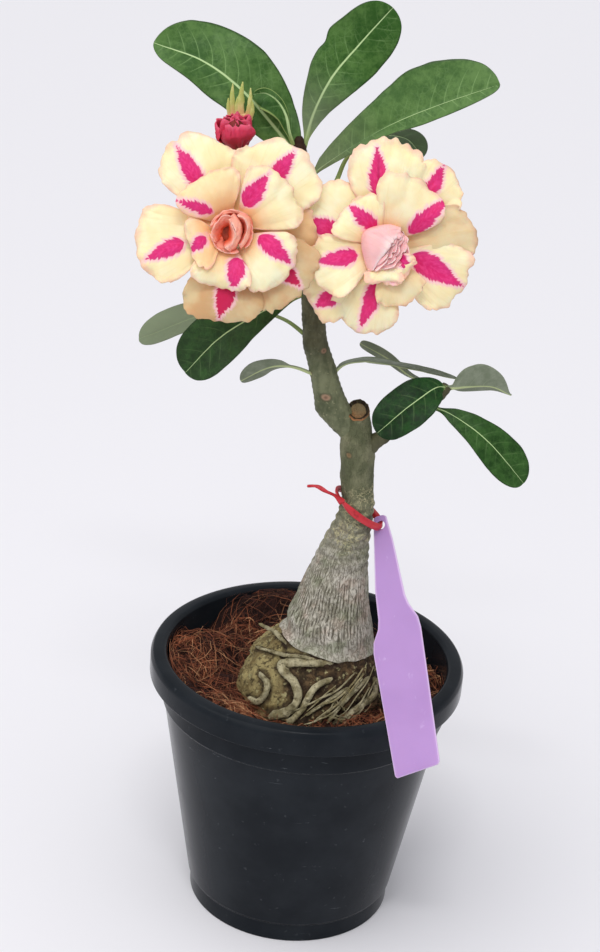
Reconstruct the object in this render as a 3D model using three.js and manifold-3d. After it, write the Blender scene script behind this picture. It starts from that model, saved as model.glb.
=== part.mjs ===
// A grafted desert rose in a nursery pot: a swollen stem over bare roots, leaves, two double
// blooms, a bud and a label on a twist tie.
// Millimetres, +Z up. The origin is the middle of the pot's flat underside, the front is -Y.
import * as THREE from 'three';
import { mergeVertices } from 'three/addons/utils/BufferGeometryUtils.js';
import Module from 'manifold-3d';

const wasm = await Module();
wasm.setup();

// Pot
const POT_HEIGHT = 141.7;
const RIM_RADIUS = 80;
const RIM_DROP = 13;
const RIM_SKIRT = 1.6;
const MOUTH_RADIUS = 73;
const BAND_RADIUS = 73;
const BAND_DROP = 27;
const BODY_TOP_RADIUS = 72;
const BODY_FOOT_RADIUS = 54.3;
const FOOT_RADIUS = 52.8;
const FOOT_HEIGHT = 11.5;
const POT_WALL = 1.5;
const POT_FLOOR = 2;
const POT_SIDES = 40;
const DRAIN_HOLES = 8;
const DRAIN_RADIUS = 4;
const DRAIN_CIRCLE = 40;

// Coir
const COIR_LEVEL = 128;
const COIR_GAP = 0.4;
const COIR_LUMP = 1.3;
const STRANDS = 22;
const STRAND_RADIUS = 1.3;

// Clear space that is kept where one piece is cut to its neighbour
const GAP = 0.3;

// Leaves and blooms
const LEAF_THICKNESS = 0.7;
const PETAL_THICKNESS = 0.7;
const PETAL_ROOT = 3;
const TUBE_LENGTH = 31;
const TUBE_MOUTH_RADIUS = 8.8;
const TUBE_MOUTH_DEPTH = 1.5;
const CALYX_DEPTH = 35.5;

// Label and tie
const TAG_THICKNESS = 0.8;
const TAG_HOLE_RADIUS = 2.1;
const TIE_RADIUS = 1.2;
const TIE_SLOPE = Math.tan(THREE.MathUtils.degToRad(35));

const vec = (x, y, z) => new THREE.Vector3(x, y, z);
const polar = (radius, angle, z) => vec(radius * Math.cos(angle), radius * Math.sin(angle), z);
const radians = THREE.MathUtils.degToRad;
const mix = THREE.MathUtils.lerp;
const curveThrough = (points) => new THREE.CatmullRomCurve3(points.map((point) => vec(...point)));

// A repeatable stream of numbers from 0 to 1
function seeded(seed) {
  let state = seed;
  return () => {
    state = (state * 1664525 + 1013904223) % 4294967296;
    return state / 4294967296;
  };
}

// Solids from points and triangles

function solidOf(points, faces) {
  const mesh = new wasm.Mesh({
    numProp: 3,
    vertProperties: new Float32Array(points.flatMap((point) => [point.x, point.y, point.z])),
    triVerts: new Uint32Array(faces.flat()),
  });
  return new wasm.Manifold(mesh);
}

function solidOfGeometry(geometry) {
  geometry.deleteAttribute('normal');
  geometry.deleteAttribute('uv');
  const merged = mergeVertices(geometry, 1e-4);
  const mesh = new wasm.Mesh({
    numProp: 3,
    vertProperties: new Float32Array(merged.attributes.position.array),
    triVerts: new Uint32Array(merged.index.array),
  });
  return new wasm.Manifold(mesh);
}

function geometryOf(solid) {
  const mesh = solid.getMesh();
  const geometry = new THREE.BufferGeometry();
  geometry.setAttribute('position', new THREE.BufferAttribute(mesh.vertProperties, 3));
  geometry.setIndex(new THREE.BufferAttribute(mesh.triVerts, 1));
  geometry.computeVertexNormals();
  return geometry;
}

function joined(solids) {
  return solids.reduce((whole, solid) => whole.add(solid));
}

// The largest body of a solid that a cut has left in pieces
function mainBody(solid) {
  const bodies = solid.decompose();
  return bodies.reduce((largest, body) => (body.volume() > largest.volume() ? body : largest));
}

// A solid through a row of rings that turn counterclockwise about the way they advance
function loft(rings) {
  const count = rings[0].length;
  const points = rings.flat();
  const faces = [];
  for (let i = 0; i + 1 < rings.length; i += 1) {
    for (let j = 0; j < count; j += 1) {
      const a = i * count + j;
      const b = i * count + ((j + 1) % count);
      faces.push([a, b, b + count], [a, b + count, a + count]);
    }
  }
  const ends = [rings[0], rings[rings.length - 1]];
  const middles = ends.map((ring) => {
    const sum = ring.reduce((total, point) => total.add(point), vec(0, 0, 0));
    return sum.divideScalar(count);
  });
  const first = points.length;
  const lastRing = (rings.length - 1) * count;
  points.push(...middles);
  for (let j = 0; j < count; j += 1) {
    const next = (j + 1) % count;
    faces.push([first, next, j], [first + 1, lastRing + j, lastRing + next]);
  }
  return solidOf(points, faces);
}

// Ring frames carried along a curve without twist
function framesAlong(curve, steps) {
  const frames = [];
  let side = null;
  for (let i = 0; i <= steps; i += 1) {
    const tangent = curve.getTangent(i / steps).normalize();
    if (side === null) {
      const helper = Math.abs(tangent.z) < 0.9 ? vec(0, 0, 1) : vec(1, 0, 0);
      side = new THREE.Vector3().crossVectors(helper, tangent);
    }
    side = side.clone().addScaledVector(tangent, -side.dot(tangent)).normalize();
    const other = new THREE.Vector3().crossVectors(tangent, side);
    frames.push({ centre: curve.getPoint(i / steps), tangent, side, other });
  }
  return frames;
}

// A branch or root: points on its middle line, and a radius at each of them
function branch({ points, radii, sides, steps }, extra = 0) {
  const curve = curveThrough(points);
  const thickness = curveThrough(radii.map((radius) => [radius, 0, 0]));
  const rings = framesAlong(curve, steps).map(({ centre, side, other }, i) => {
    const radius = thickness.getPoint(i / steps).x + extra;
    const ring = [];
    for (let j = 0; j < sides; j += 1) {
      const angle = (2 * Math.PI * j) / sides;
      ring.push(centre.clone()
        .addScaledVector(side, radius * Math.cos(angle))
        .addScaledVector(other, radius * Math.sin(angle)));
    }
    return ring;
  });
  return loft(rings);
}

// A thin blade on a surface (along 0 to 1, across -1 to 1), split alike on both faces
function sheet(surface, thicknessAt, rows, columns) {
  const front = [];
  const back = [];
  const step = 0.01;
  for (let i = 0; i <= rows; i += 1) {
    for (let j = 0; j <= columns; j += 1) {
      const along = i / rows;
      const across = (2 * j) / columns - 1;
      const alongTo = Math.min(1, along + step);
      const alongFrom = Math.max(0, along - step);
      const acrossTo = Math.min(1, across + step);
      const acrossFrom = Math.max(-1, across - step);
      const middle = surface(along, across);
      const lengthwise = surface(alongTo, across).sub(surface(alongFrom, across));
      const sideways = surface(along, acrossTo).sub(surface(along, acrossFrom));
      const normal = lengthwise.cross(sideways).normalize();
      const half = thicknessAt(along, across) / 2;
      front.push(middle.clone().addScaledVector(normal, half));
      back.push(middle.clone().addScaledVector(normal, -half));
    }
  }
  const behind = front.length;
  const at = (i, j) => i * (columns + 1) + j;
  const faces = [];
  for (let i = 0; i < rows; i += 1) {
    for (let j = 0; j < columns; j += 1) {
      const [a, b, c, d] = [at(i, j), at(i + 1, j), at(i + 1, j + 1), at(i, j + 1)];
      faces.push([a, b, c], [a, c, d]);
      faces.push([c + behind, b + behind, a + behind], [d + behind, c + behind, a + behind]);
    }
  }
  const border = [];
  for (let i = 0; i < rows; i += 1) {
    border.push(at(i, 0));
  }
  for (let j = 0; j < columns; j += 1) {
    border.push(at(rows, j));
  }
  for (let i = rows; i > 0; i -= 1) {
    border.push(at(i, columns));
  }
  for (let j = columns; j > 0; j -= 1) {
    border.push(at(0, j));
  }
  border.forEach((p, k) => {
    const q = border[(k + 1) % border.length];
    faces.push([q, p, p + behind], [q, p + behind, q + behind]);
  });
  return solidOf([...front, ...back], faces);
}

// A solid turned from a profile of [radius, height] that runs up the outside
function turned(profile, sides) {
  const points = profile.map(([radius, height]) => new THREE.Vector2(radius, height));
  const geometry = new THREE.LatheGeometry(points, sides);
  geometry.rotateX(Math.PI / 2);
  return solidOfGeometry(geometry);
}

// The pot: a tapered body, a raised foot, a band and an overhanging rim

function innerRadius(height) {
  const bandFoot = POT_HEIGHT - BAND_DROP;
  if (height >= bandFoot) return BAND_RADIUS - POT_WALL;
  const share = (height - FOOT_HEIGHT) / (bandFoot - FOOT_HEIGHT);
  return mix(BODY_FOOT_RADIUS, BODY_TOP_RADIUS, Math.max(0, share)) - POT_WALL;
}

function potSolid() {
  const rimFoot = POT_HEIGHT - RIM_DROP;
  const bandFoot = POT_HEIGHT - BAND_DROP;
  const shell = turned([
    [0, 0],
    [FOOT_RADIUS, 0],
    [FOOT_RADIUS, FOOT_HEIGHT - 1],
    [BODY_FOOT_RADIUS, FOOT_HEIGHT],
    [BODY_TOP_RADIUS, bandFoot - 1],
    [BAND_RADIUS, bandFoot],
    [BAND_RADIUS, POT_HEIGHT - 2.5],
    [RIM_RADIUS - RIM_SKIRT, POT_HEIGHT - 3],
    [RIM_RADIUS - RIM_SKIRT, rimFoot],
    [RIM_RADIUS, rimFoot],
    [RIM_RADIUS, POT_HEIGHT - 2],
    [RIM_RADIUS - 2.5, POT_HEIGHT],
    [MOUTH_RADIUS, POT_HEIGHT],
    [BAND_RADIUS - POT_WALL, POT_HEIGHT - 1.5],
    [innerRadius(bandFoot), bandFoot],
    [innerRadius(bandFoot - 1), bandFoot - 1],
    [innerRadius(FOOT_HEIGHT), FOOT_HEIGHT],
    [FOOT_RADIUS - POT_WALL, FOOT_HEIGHT - 1],
    [FOOT_RADIUS - POT_WALL, POT_FLOOR],
    [0, POT_FLOOR],
  ], POT_SIDES);
  let pot = shell;
  for (let i = 0; i < DRAIN_HOLES; i += 1) {
    const hole = new THREE.CylinderGeometry(DRAIN_RADIUS, DRAIN_RADIUS, 3 * POT_FLOOR, 8);
    const middle = polar(DRAIN_CIRCLE, (2 * Math.PI * (i + 0.5)) / DRAIN_HOLES, POT_FLOOR / 2);
    hole.rotateX(Math.PI / 2);
    hole.translate(middle.x, middle.y, middle.z);
    pot = pot.subtract(solidOfGeometry(hole));
  }
  return pot;
}

// The woody body: root mass, bark cone and cut stump, on level rings of [z, x, y, radius]

const TRUNK_SIDES = 14;
const SCAR_LEVEL = 158;
const SCAR_SLOPE = 0.15;
const ROOT_LUMP = 1.5;
const TRUNK_RINGS = [
  [70, 2, -8, 13],
  [92, 2, -11, 27],
  [112, 2, -13, 36],
  [127, 2, -14, 38.5],
  [137, 3, -14, 36.5],
  [145, 5, -13, 33],
  [151, 8, -11, 28.5],
  [156, 9.5, -10, 25],
  [159, 10, -10, 22.4],
  [167, 9.6, -10, 21.4],
  [177, 9.9, -9, 18.6],
  [187, 10.6, -9, 16.4],
  [198, 11.8, -8, 13.8],
  [210, 14, -8, 11.4],
  [221, 16.4, -8, 9.4],
  [232, 17.6, -8, 8.1],
  [246, 16.2, -8, 8.1],
  [258, 15.4, -8, 8.4],
  [267, 14.2, -8, 7.9],
  [275, 14.2, -8, 6.4],
  [282, 13.8, -8, 4.8],
];

function trunk(extra = 0) {
  const rings = TRUNK_RINGS.map(([level, x, y, radius]) => {
    const rooty = THREE.MathUtils.clamp((SCAR_LEVEL - level) / 20, 0, 1);
    const tilt = THREE.MathUtils.clamp(1 - Math.abs(level - SCAR_LEVEL) / 40, 0, 1);
    const ring = [];
    for (let j = 0; j < TRUNK_SIDES; j += 1) {
      const angle = (2 * Math.PI * j) / TRUNK_SIDES;
      const lump = Math.sin(3 * angle + level / 9) + 0.7 * Math.sin(5 * angle - level / 6);
      const reach = radius + extra + ROOT_LUMP * rooty * lump;
      const point = polar(reach, angle, level).add(vec(x, y, 0));
      point.z -= SCAR_SLOPE * tilt * (point.x - x);
      ring.push(point);
    }
    return ring;
  });
  return loft(rings);
}

const STEMS = {
  scion: {
    points: [[13, -8, 267], [5.5, -8, 274], [-1, -8, 286], [-5.2, -7, 300], [-9.5, -6, 313],
      [-12.4, -6, 330], [-16.4, -4, 357], [-19.6, -3, 380], [-22.5, -1, 395], [-24, 0, 404],
      [-24.6, 0, 409]],
    radii: [6.4, 7.4, 6.7, 6.1, 5.6, 5, 4.7, 4.2, 3.8, 3.2, 1.6],
    sides: 12,
    steps: 18,
  },
  twig: {
    points: [[17, -8, 257], [23, -8.5, 264.6], [34.4, -12, 274.8], [47.5, -15, 287],
      [54.4, -15, 299]],
    radii: [5, 4, 2.8, 2.3, 1.8],
    sides: 8,
    steps: 9,
  },
};

// Roots that lie over the mass, as seen from the front
const ROOTS = [
  {
    points: [[14, -33, 154], [0, -36, 155], [-13, -34, 152], [-4, -45, 145], [-5, -49, 138],
      [-17, -50, 130]],
    radii: [2, 2.5, 2.7, 2.4, 2.7, 4],
  },
  { points: [[4, -34, 156], [-13, -30, 156], [-27, -15, 150]], radii: [1.5, 1.2, 0.8] },
  {
    points: [[13, -39, 150], [4, -45, 146], [-1, -50, 137], [-8, -53, 129]],
    radii: [1.9, 2, 2, 1.9],
  },
  {
    points: [[-23, -34, 147], [-19, -42, 142], [-23, -43, 135], [-28, -38, 134]],
    radii: [1.5, 2, 1.9, 1.4],
  },
  {
    points: [[34, -26, 145], [34, -32, 139], [26, -42, 135], [13, -50, 128]],
    radii: [2.1, 2.3, 2.2, 1.8],
  },
  {
    points: [[31, -30, 147], [20, -44, 141], [12, -51, 131]],
    radii: [1.5, 1.5, 1.3],
  },
  { points: [[28, -33, 148], [11, -47, 141], [1, -51, 134]], radii: [1.1, 1.1, 0.9] },
  {
    points: [[-26, -14, 163], [-19, -16, 161], [-14, -19, 159], [-9, -25, 157]],
    radii: [1.1, 1.3, 1.3, 1],
  },
  { points: [[36, -20, 143], [40, -23, 135], [43, -25, 126]], radii: [2.4, 2.6, 2] },
  { points: [[10, 12, 146], [13, 22, 137], [16, 29, 126]], radii: [2.4, 2.6, 2.2] },
];

// Flower stalks: each ends just short of its calyx
const BLOOM_LEFT = { centre: [-51, -42, 374.6], facing: [0.043, -0.952, 0.303] };
const BLOOM_RIGHT = { centre: [18, -33.5, 369.6], facing: [0.01, -0.965, 0.262] };

const BLOOM_ROLL = 4.7;

function behind(bloom, depth) {
  return vec(...bloom.centre).addScaledVector(vec(...bloom.facing).normalize(), -depth).toArray();
}

const STALKS = [
  {
    points: [[-19, -3, 379], [-13.1, 1, 384], [-6.8, 3, 386.4], [2, 3, 382],
      [12, 3, 368], behind(BLOOM_RIGHT, CALYX_DEPTH + 5), behind(BLOOM_RIGHT, CALYX_DEPTH)],
    radii: [2.2, 1.3, 1.5, 1.2, 1.3, 1.8, 2],
    steps: 12,
  },
  {
    points: [[-18, -3, 374], [-27, 4, 372], [-40, 8, 366], behind(BLOOM_LEFT, CALYX_DEPTH + 5),
      behind(BLOOM_LEFT, CALYX_DEPTH)],
    radii: [2.2, 1.5, 1.5, 1.8, 2],
    steps: 8,
  },
  {
    points: [[-36, 7, 368.5], [-45, 3, 378], [-50, -5, 389], [-51, -10.5, 398]],
    radii: [1.5, 1.3, 1.2, 1.5],
    steps: 6,
  },
];

function stemParts(extra = 0) {
  const roots = ROOTS.map((root) => ({ sides: 5, steps: 3 + root.points.length, ...root }));
  const stalks = STALKS.map((stalk) => ({ sides: 6, ...stalk }));
  const lines = [STEMS.scion, STEMS.twig, ...roots, ...stalks];
  return [trunk(extra), ...lines.map((line) => branch(line, extra))];
}

// The coir: a filled pot with a rough top, strands on it and a plain hole for the roots

function coirHeight(x, y) {
  const radius = Math.hypot(x, y);
  const angle = Math.atan2(y, x);
  const left = 6 * THREE.MathUtils.smoothstep(-x, 20, 60);
  const back = 10 * Math.exp(-((x + 18) ** 2) / 1400 - ((y - 64) ** 2) / 500);
  const backRight = -13 * Math.exp(-((x - 42) ** 2 + (y - 38) ** 2) / 900);
  const lump = Math.sin(radius / 4.3 + 3 * angle) + Math.cos(5 * angle - radius / 7);
  return COIR_LEVEL + left + back + backRight + COIR_LUMP * lump;
}

function coirSolid(rootHole) {
  const rings = [];
  const ringAt = (radius, height) => {
    const ring = [];
    for (let j = 0; j < POT_SIDES; j += 1) {
      const angle = (2 * Math.PI * j) / POT_SIDES;
      const { x, y } = polar(radius, angle, 0);
      ring.push(vec(x, y, height ?? coirHeight(x, y)));
    }
    return ring;
  };
  for (const height of [POT_FLOOR + GAP, FOOT_HEIGHT - 1, FOOT_HEIGHT, POT_HEIGHT - BAND_DROP - 1]) {
    const wall = height < FOOT_HEIGHT ? FOOT_RADIUS - POT_WALL : innerRadius(height);
    rings.push(ringAt(wall - COIR_GAP, height));
  }
  const top = BAND_RADIUS - POT_WALL - COIR_GAP - 0.6;
  for (const share of [1, 0.86, 0.72, 0.58, 0.3]) {
    rings.push(ringAt(top * share));
  }
  return joined([loft(rings), ...coirStrands()]).subtract(rootHole);
}

function coirStrands() {
  const random = seeded(7);
  const strands = [];
  for (let i = 0; i < STRANDS; i += 1) {
    const angle = 2 * Math.PI * ((i * 0.618) % 1);
    const radius = mix(44, 64, random());
    const heading = angle + Math.PI / 2 + mix(-0.9, 0.9, random());
    const half = mix(5, 9, random());
    const rise = mix(1.2, 3.6, random());
    const points = [-1, 0, 1].map((end) => {
      const x = radius * Math.cos(angle) + end * half * Math.cos(heading);
      const y = radius * Math.sin(angle) + end * half * Math.sin(heading);
      const inward = Math.min(1, (MOUTH_RADIUS - 6) / Math.hypot(x, y));
      const height = coirHeight(x * inward, y * inward) + (end === 0 ? rise : -1.5);
      return [x * inward, y * inward, height];
    });
    strands.push(branch({ points, radii: [0.6, STRAND_RADIUS, 0.6], sides: 3, steps: 4 }));
  }
  return strands;
}

// Leaves: a spine from the stem to the tip, a width, and the way the upper side faces.
// stalk is the share of the spine that is bare petiole.

const LEAVES = {
  leaf_crown_left: {
    spine: [[-23, 0, 398], [-37, 4, 412], [-53, 7, 427], [-71, 9, 438], [-94, 11, 444]],
    width: 32.5, uneven: 0.17, facing: [0.1, -0.85, 0.5], stalk: 0.02, fold: 0.12, wave: 1.4,
    swell: 0.85,
  },
  leaf_crown_middle: {
    spine: [[-22, 0, 403], [-19, 5, 419], [-12, 10, 435], [0, 15, 451], [13, 17, 467.5]],
    width: 29, uneven: 0, facing: [0.25, -0.93, 0.3], stalk: 0.05, fold: 0.1, wave: 1.2,
  },
  leaf_crown_right: {
    spine: [[-20, -2, 388], [-12, -2, 397], [15, -4, 418], [30, -6, 427], [63, -10, 443]],
    width: 25, uneven: -0.5, facing: [-0.1, -0.85, 0.5], stalk: 0.1, fold: 0.2, wave: 1.2,
    swell: 1.4,
  },
  leaf_crown_young: {
    spine: [[-25, 0, 404], [-31, -1, 412], [-38, 1, 421], [-45.5, 2, 426]],
    width: 11, uneven: 0, facing: [0.3, -0.9, 0.4], stalk: 0.1, fold: 0.3, wave: 0.4,
  },
  leaf_stalk_right: {
    spine: [[-6, 4, 388], [-1, 8, 400], [13, 11, 409], [25, 11, 409], [33, 8, 402]],
    width: 15, uneven: 0, facing: [0.1, -0.35, 0.93], stalk: 0.36, fold: 0.15, wave: 0.8,
  },
  leaf_under_left: {
    spine: [[-14, -6, 337], [-36, -16, 328], [-54, -21, 316], [-69, -23, 298]],
    width: 27, uneven: 0, facing: [-0.1, -0.8, 0.6], stalk: 0.08, fold: 0.22, wave: 0.8,
  },
  leaf_left_back: {
    spine: [[-13, -5, 314], [-25, 0, 320], [-47, 8, 321], [-69, 14, 312], [-95, 16, 298]],
    width: 21, uneven: 0, facing: [-0.25, -0.45, 0.86], stalk: 0.3, fold: 0.15, wave: 0.8,
  },
  leaf_left_small: {
    spine: [[-7, -8, 296], [-19, -12, 301], [-30, -16, 302], [-43, -20, 295]],
    width: 13, uneven: 0, facing: [-0.3, 0.8, 0.5], stalk: 0.36, fold: 0.1, wave: 0.5,
  },
  leaf_right_long: {
    spine: [[-1, -6, 295], [5, -5, 301], [14, -3, 303], [31, 0, 301], [58, 2, 295]],
    width: 15, uneven: 0, facing: [0, 0.28, 0.96], stalk: 0.16, fold: 0.1, wave: 0.7,
  },
  leaf_under_right: {
    spine: [[-10, -5, 336], [-2, -3, 336], [6, -1, 331], [12.5, -1, 321]],
    width: 12, uneven: 0, facing: [0.2, -0.5, 0.85], stalk: 0.1, fold: 0.15, wave: 0.5,
  },
  leaf_twig_front: {
    spine: [[54, -16, 298.5], [49, -20, 299.5], [38, -27, 293], [23, -32, 279]],
    width: 22.5, uneven: 0, facing: [-0.25, -0.8, 0.55], stalk: 0.06, fold: 0.12, wave: 0.8,
  },
  leaf_twig_hanging: {
    spine: [[48, -15.5, 288], [58, -19, 286], [76, -24, 276], [95, -26, 257]],
    width: 20, uneven: 0, facing: [0.3, -0.8, 0.52], stalk: 0.06, fold: 0.14, wave: 0.8,
    swell: 1.6,
  },
  leaf_twig_right: {
    spine: [[54.5, -14.5, 297.5], [65, -11, 299], [76, -8, 299], [86, -6, 293]],
    width: 13.5, uneven: 0, facing: [0.1, 0.95, 0.3], stalk: 0.1, fold: 0.12, wave: 0.4,
  },
  leaf_twig_back: {
    spine: [[53.5, -12, 297.5], [46, -1, 294.5], [37, 9, 294], [26, 16, 299], [12.5, 20, 304]],
    width: 10, uneven: 0, facing: [0, 0.75, 0.66], stalk: 0.14, fold: 0.15, wave: 0.6,
  },
};

// Half the width of a leaf: widest at two thirds, rounded at the tip, a stalk at the base
function leafHalfWidth(leaf, along) {
  const share = Math.max(0, (along - leaf.stalk) / (1 - leaf.stalk));
  const swell = leaf.swell ?? 1.15;
  const taper = 0.45;
  const widest = swell / (swell + taper);
  const peak = (widest ** swell) * ((1 - widest) ** taper);
  const outline = (share ** swell) * ((1 - share) ** taper) / peak;
  const stalk = mix(1.1, 0.35, along);
  return Math.hypot(stalk, (leaf.width / 2) * outline);
}

function leafSurface(leaf) {
  const spine = curveThrough(leaf.spine);
  const facing = vec(...leaf.facing);
  return (along, across) => {
    const forward = spine.getTangent(along).normalize();
    const side = new THREE.Vector3().crossVectors(forward, facing).normalize();
    const up = new THREE.Vector3().crossVectors(side, forward);
    const half = leafHalfWidth(leaf, along) * (1 + leaf.uneven * Math.sign(across));
    const ripple = Math.sin(along * 15 + (across > 0 ? 0 : 1.7)) * across ** 2;
    const rise = half * leaf.fold * Math.abs(across) + leaf.wave * ripple * Math.min(1, half / 8);
    return spine.getPoint(along)
      .addScaledVector(side, half * across)
      .addScaledVector(up, rise);
  };
}

function leafSolid(leaf, clearance) {
  const spread = (along) => 1 - (1 - along) ** 1.5;
  const surface = leafSurface(leaf);
  const thickness = (along, across) => {
    const rib = (1 - Math.abs(across)) * (1 - along);
    return LEAF_THICKNESS + 1.3 * rib ** 2;
  };
  const blade = sheet((along, across) => surface(spread(along), across), thickness, 7, 4);
  return mainBody(blade.subtract(clearance));
}

// Blooms, in a frame of their own: +Z towards the viewer, +Y up, petals by the angle from +X.
// reach is how far the tip lies from the middle, width is a petal's full half width.

const OUTER = { base: -7, rise: 9, droop: 6.5, cup: -1.5, twist: 2, ruffle: 1 };
const INNER = { base: -5.5, rise: 14, droop: 5, cup: 1.5, twist: 1.8, ruffle: 0.9 };

const LEFT_PETALS = [
  { angle: 52, reach: 47, width: 23, ...OUTER },
  { angle: 115, reach: 47, width: 20, ...OUTER },
  { angle: 191, reach: 42.5, width: 20, ...OUTER },
  { angle: 262, reach: 41, width: 18.5, ...OUTER },
  { angle: 320, reach: 42, width: 18.5, ...OUTER },
  { angle: 38, reach: 33, width: 17, ...INNER },
  { angle: 118, reach: 28, width: 16, ...INNER },
  { angle: 190, reach: 30, width: 15, ...INNER },
  { angle: 256, reach: 26, width: 14, ...INNER },
  { angle: 322, reach: 31, width: 16, ...INNER },
];

const RIGHT_PETALS = [
  { angle: 87, reach: 47.5, width: 19, ...OUTER },
  { angle: 50, reach: 47, width: 15, ...OUTER, base: -9 },
  { angle: 8, reach: 41.5, width: 16, ...OUTER },
  { angle: -32, reach: 40, width: 19, ...OUTER },
  { angle: 252, reach: 38.5, width: 16, ...OUTER },
  { angle: 220, reach: 42, width: 14, ...OUTER, base: -9 },
  { angle: 152, reach: 40, width: 19, ...OUTER },
  { angle: 62, reach: 34, width: 17, ...INNER },
  { angle: 128, reach: 26, width: 14, ...INNER },
  { angle: 197, reach: 33, width: 15, ...INNER },
  { angle: 300, reach: 27, width: 15, ...INNER },
];

function petalSurface(petal) {
  const angle = radians(petal.angle);
  const outward = vec(Math.cos(angle), Math.sin(angle), 0);
  const sideways = vec(-Math.sin(angle), Math.cos(angle), 0);
  return (along, across) => {
    const lengthwise = 2 * along - 1;
    const x = across * Math.sqrt(1 - lengthwise ** 2 / 2);
    const y = lengthwise * Math.sqrt(1 - across ** 2 / 2);
    const share = (y + 1) / 2;
    const edge = Math.hypot(x, y) ** 3;
    const around = Math.atan2(x, y + 0.2);
    const ripple = petal.ruffle * edge * share * Math.sin(5 * around + petal.angle);
    const arch = petal.base + petal.rise * (1 - (1 - share) ** 2) - petal.droop * share ** 3;
    const lean = share * (petal.cup * x * x + petal.twist * x);
    return vec(0, 0, arch + lean + ripple)
      .addScaledVector(outward, mix(PETAL_ROOT, petal.reach, share) + 0.5 * ripple)
      .addScaledVector(sideways, 1.1 * x * petal.width * (0.1 + 1.2 * share ** 0.9));
  };
}

function petalSolid(petal) {
  return sheet(petalSurface(petal), () => PETAL_THICKNESS, 5, 4);
}

function bloomTube() {
  return turned([
    [0, -TUBE_LENGTH],
    [2.6, -TUBE_LENGTH],
    [3.4, -TUBE_LENGTH + 9],
    [5.4, -TUBE_LENGTH + 19],
    [TUBE_MOUTH_RADIUS, -TUBE_MOUTH_DEPTH - 3],
    [TUBE_MOUTH_RADIUS, -TUBE_MOUTH_DEPTH],
    [0, -TUBE_MOUTH_DEPTH],
  ], 10);
}

// The room that a heart takes in the mouth of a bloom, with clear space round it
function heartRoom() {
  return turned([
    [0, -TUBE_MOUTH_DEPTH - 0.1],
    [6.4, -TUBE_MOUTH_DEPTH - 0.1],
    [10.6, 4],
    [11.6, 8],
    [11.6, 18],
    [0, 18],
  ], 16);
}

// A shell petal of a heart or bud: part of a cone about +Z, its top edge turned out
function shellSurface({ angle, span, root, radius, low, high, flare, ruffle }) {
  return (along, across) => {
    const middle = radians(angle);
    const open = Math.sin(Math.PI * mix(0.22, 0.62, along));
    const turn = middle + radians(span / 2) * across * open;
    const wave = ruffle * along ** 2 * Math.sin(3.1 * across * 2 + middle * 2);
    const bulge = Math.sin(Math.PI * 0.62 * along);
    const out = mix(root, radius, bulge) + flare * along ** 3 + wave + 0.7 * across * along;
    const height = mix(low, high, along) - 1.6 * across * across * along + 0.6 * wave;
    return polar(out, turn, height);
  };
}

function shells(list, rows, columns) {
  return list.map((shell) => sheet(shellSurface(shell), () => PETAL_THICKNESS, rows, columns));
}

// The left heart is an open rosette
function leftHeart() {
  const list = [
    { angle: 200, span: 190, root: 4.6, radius: 8.4, low: -0.7, high: 7.5 },
    { angle: 80, span: 180, root: 4.6, radius: 8.8, low: -0.7, high: 8 },
    { angle: 320, span: 180, root: 4.6, radius: 8.4, low: -0.7, high: 7 },
    { angle: 150, span: 200, root: 3, radius: 5, low: -0.7, high: 9.4 },
  ];
  const core = turned([[0, -1.1], [5.2, -1.1], [5.6, 1.6], [2.4, 3], [1.8, 8], [0, 8.6]], 8);
  const petals = list.map((shell) => ({ flare: 0.6, ruffle: 0.5, ...shell }));
  return joined([core, ...shells(petals, 2, 4)]);
}

// The right heart is a closed bulging bud, frilled on its right
function rightHeart() {
  const list = [
    { angle: 160, span: 250, root: 5.2, radius: 10.4, low: -0.7, high: 11, flare: -2 },
    { angle: 15, span: 200, root: 5.2, radius: 9.6, low: -0.7, high: 8.5, flare: 0.6 },
    { angle: 285, span: 180, root: 5.2, radius: 9.8, low: -0.7, high: 7, flare: 1 },
    { angle: 30, span: 170, root: 4, radius: 6.6, low: -0.7, high: 11.5, flare: -0.4 },
  ];
  const core = turned([[0, -1.1], [5.4, -1.1], [7.4, 2.5], [7, 7], [3.8, 11], [0, 12]], 8);
  const petals = list.map((shell) => ({ ruffle: 0.5, ...shell }));
  return joined([core, ...shells(petals, 2, 4)]);
}

// The calyx: a small cup behind the tube, with five narrow sepals along it
function calyxSolid() {
  const start = -CALYX_DEPTH + GAP;
  const cup = turned([
    [0, start],
    [2.4, start],
    [4.4, start + 1.6],
    [4.4, -TUBE_LENGTH - GAP],
    [0, -TUBE_LENGTH - GAP],
  ], 8);
  const sepals = [0, 1, 2, 3, 4].map((i) => {
    const angle = 2 * Math.PI * (i / 5);
    const surface = (along, across) => {
      const half = mix(2.2, 0.3, along ** 1.4);
      const out = 3.9 + 3.2 * along;
      return polar(out, angle + (half * across) / out, mix(-TUBE_LENGTH - 2, -20, along));
    };
    return sheet(surface, () => 0.8, 2, 2);
  });
  return joined([cup, ...sepals]);
}

// Frame of a bloom or bud: +Z along its facing, +Y as near to up as that allows, then a roll
function placement({ centre, facing, roll = 0 }) {
  const z = vec(...facing).normalize();
  const x = new THREE.Vector3().crossVectors(vec(0, 0, 1), z).normalize();
  const y = new THREE.Vector3().crossVectors(z, x);
  const matrix = new THREE.Matrix4().makeBasis(x, y, z).setPosition(...centre);
  return matrix.multiply(new THREE.Matrix4().makeRotationZ(radians(roll)));
}

function placed(solid, matrix) {
  return solid.transform(matrix.toArray());
}

// The bud: a funnel, a crumpled head of shells round a core, and a tuft of pointed tips
const BUD = { centre: [-51.5, -12, 402], facing: [-0.12, -0.22, 0.97] };

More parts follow.
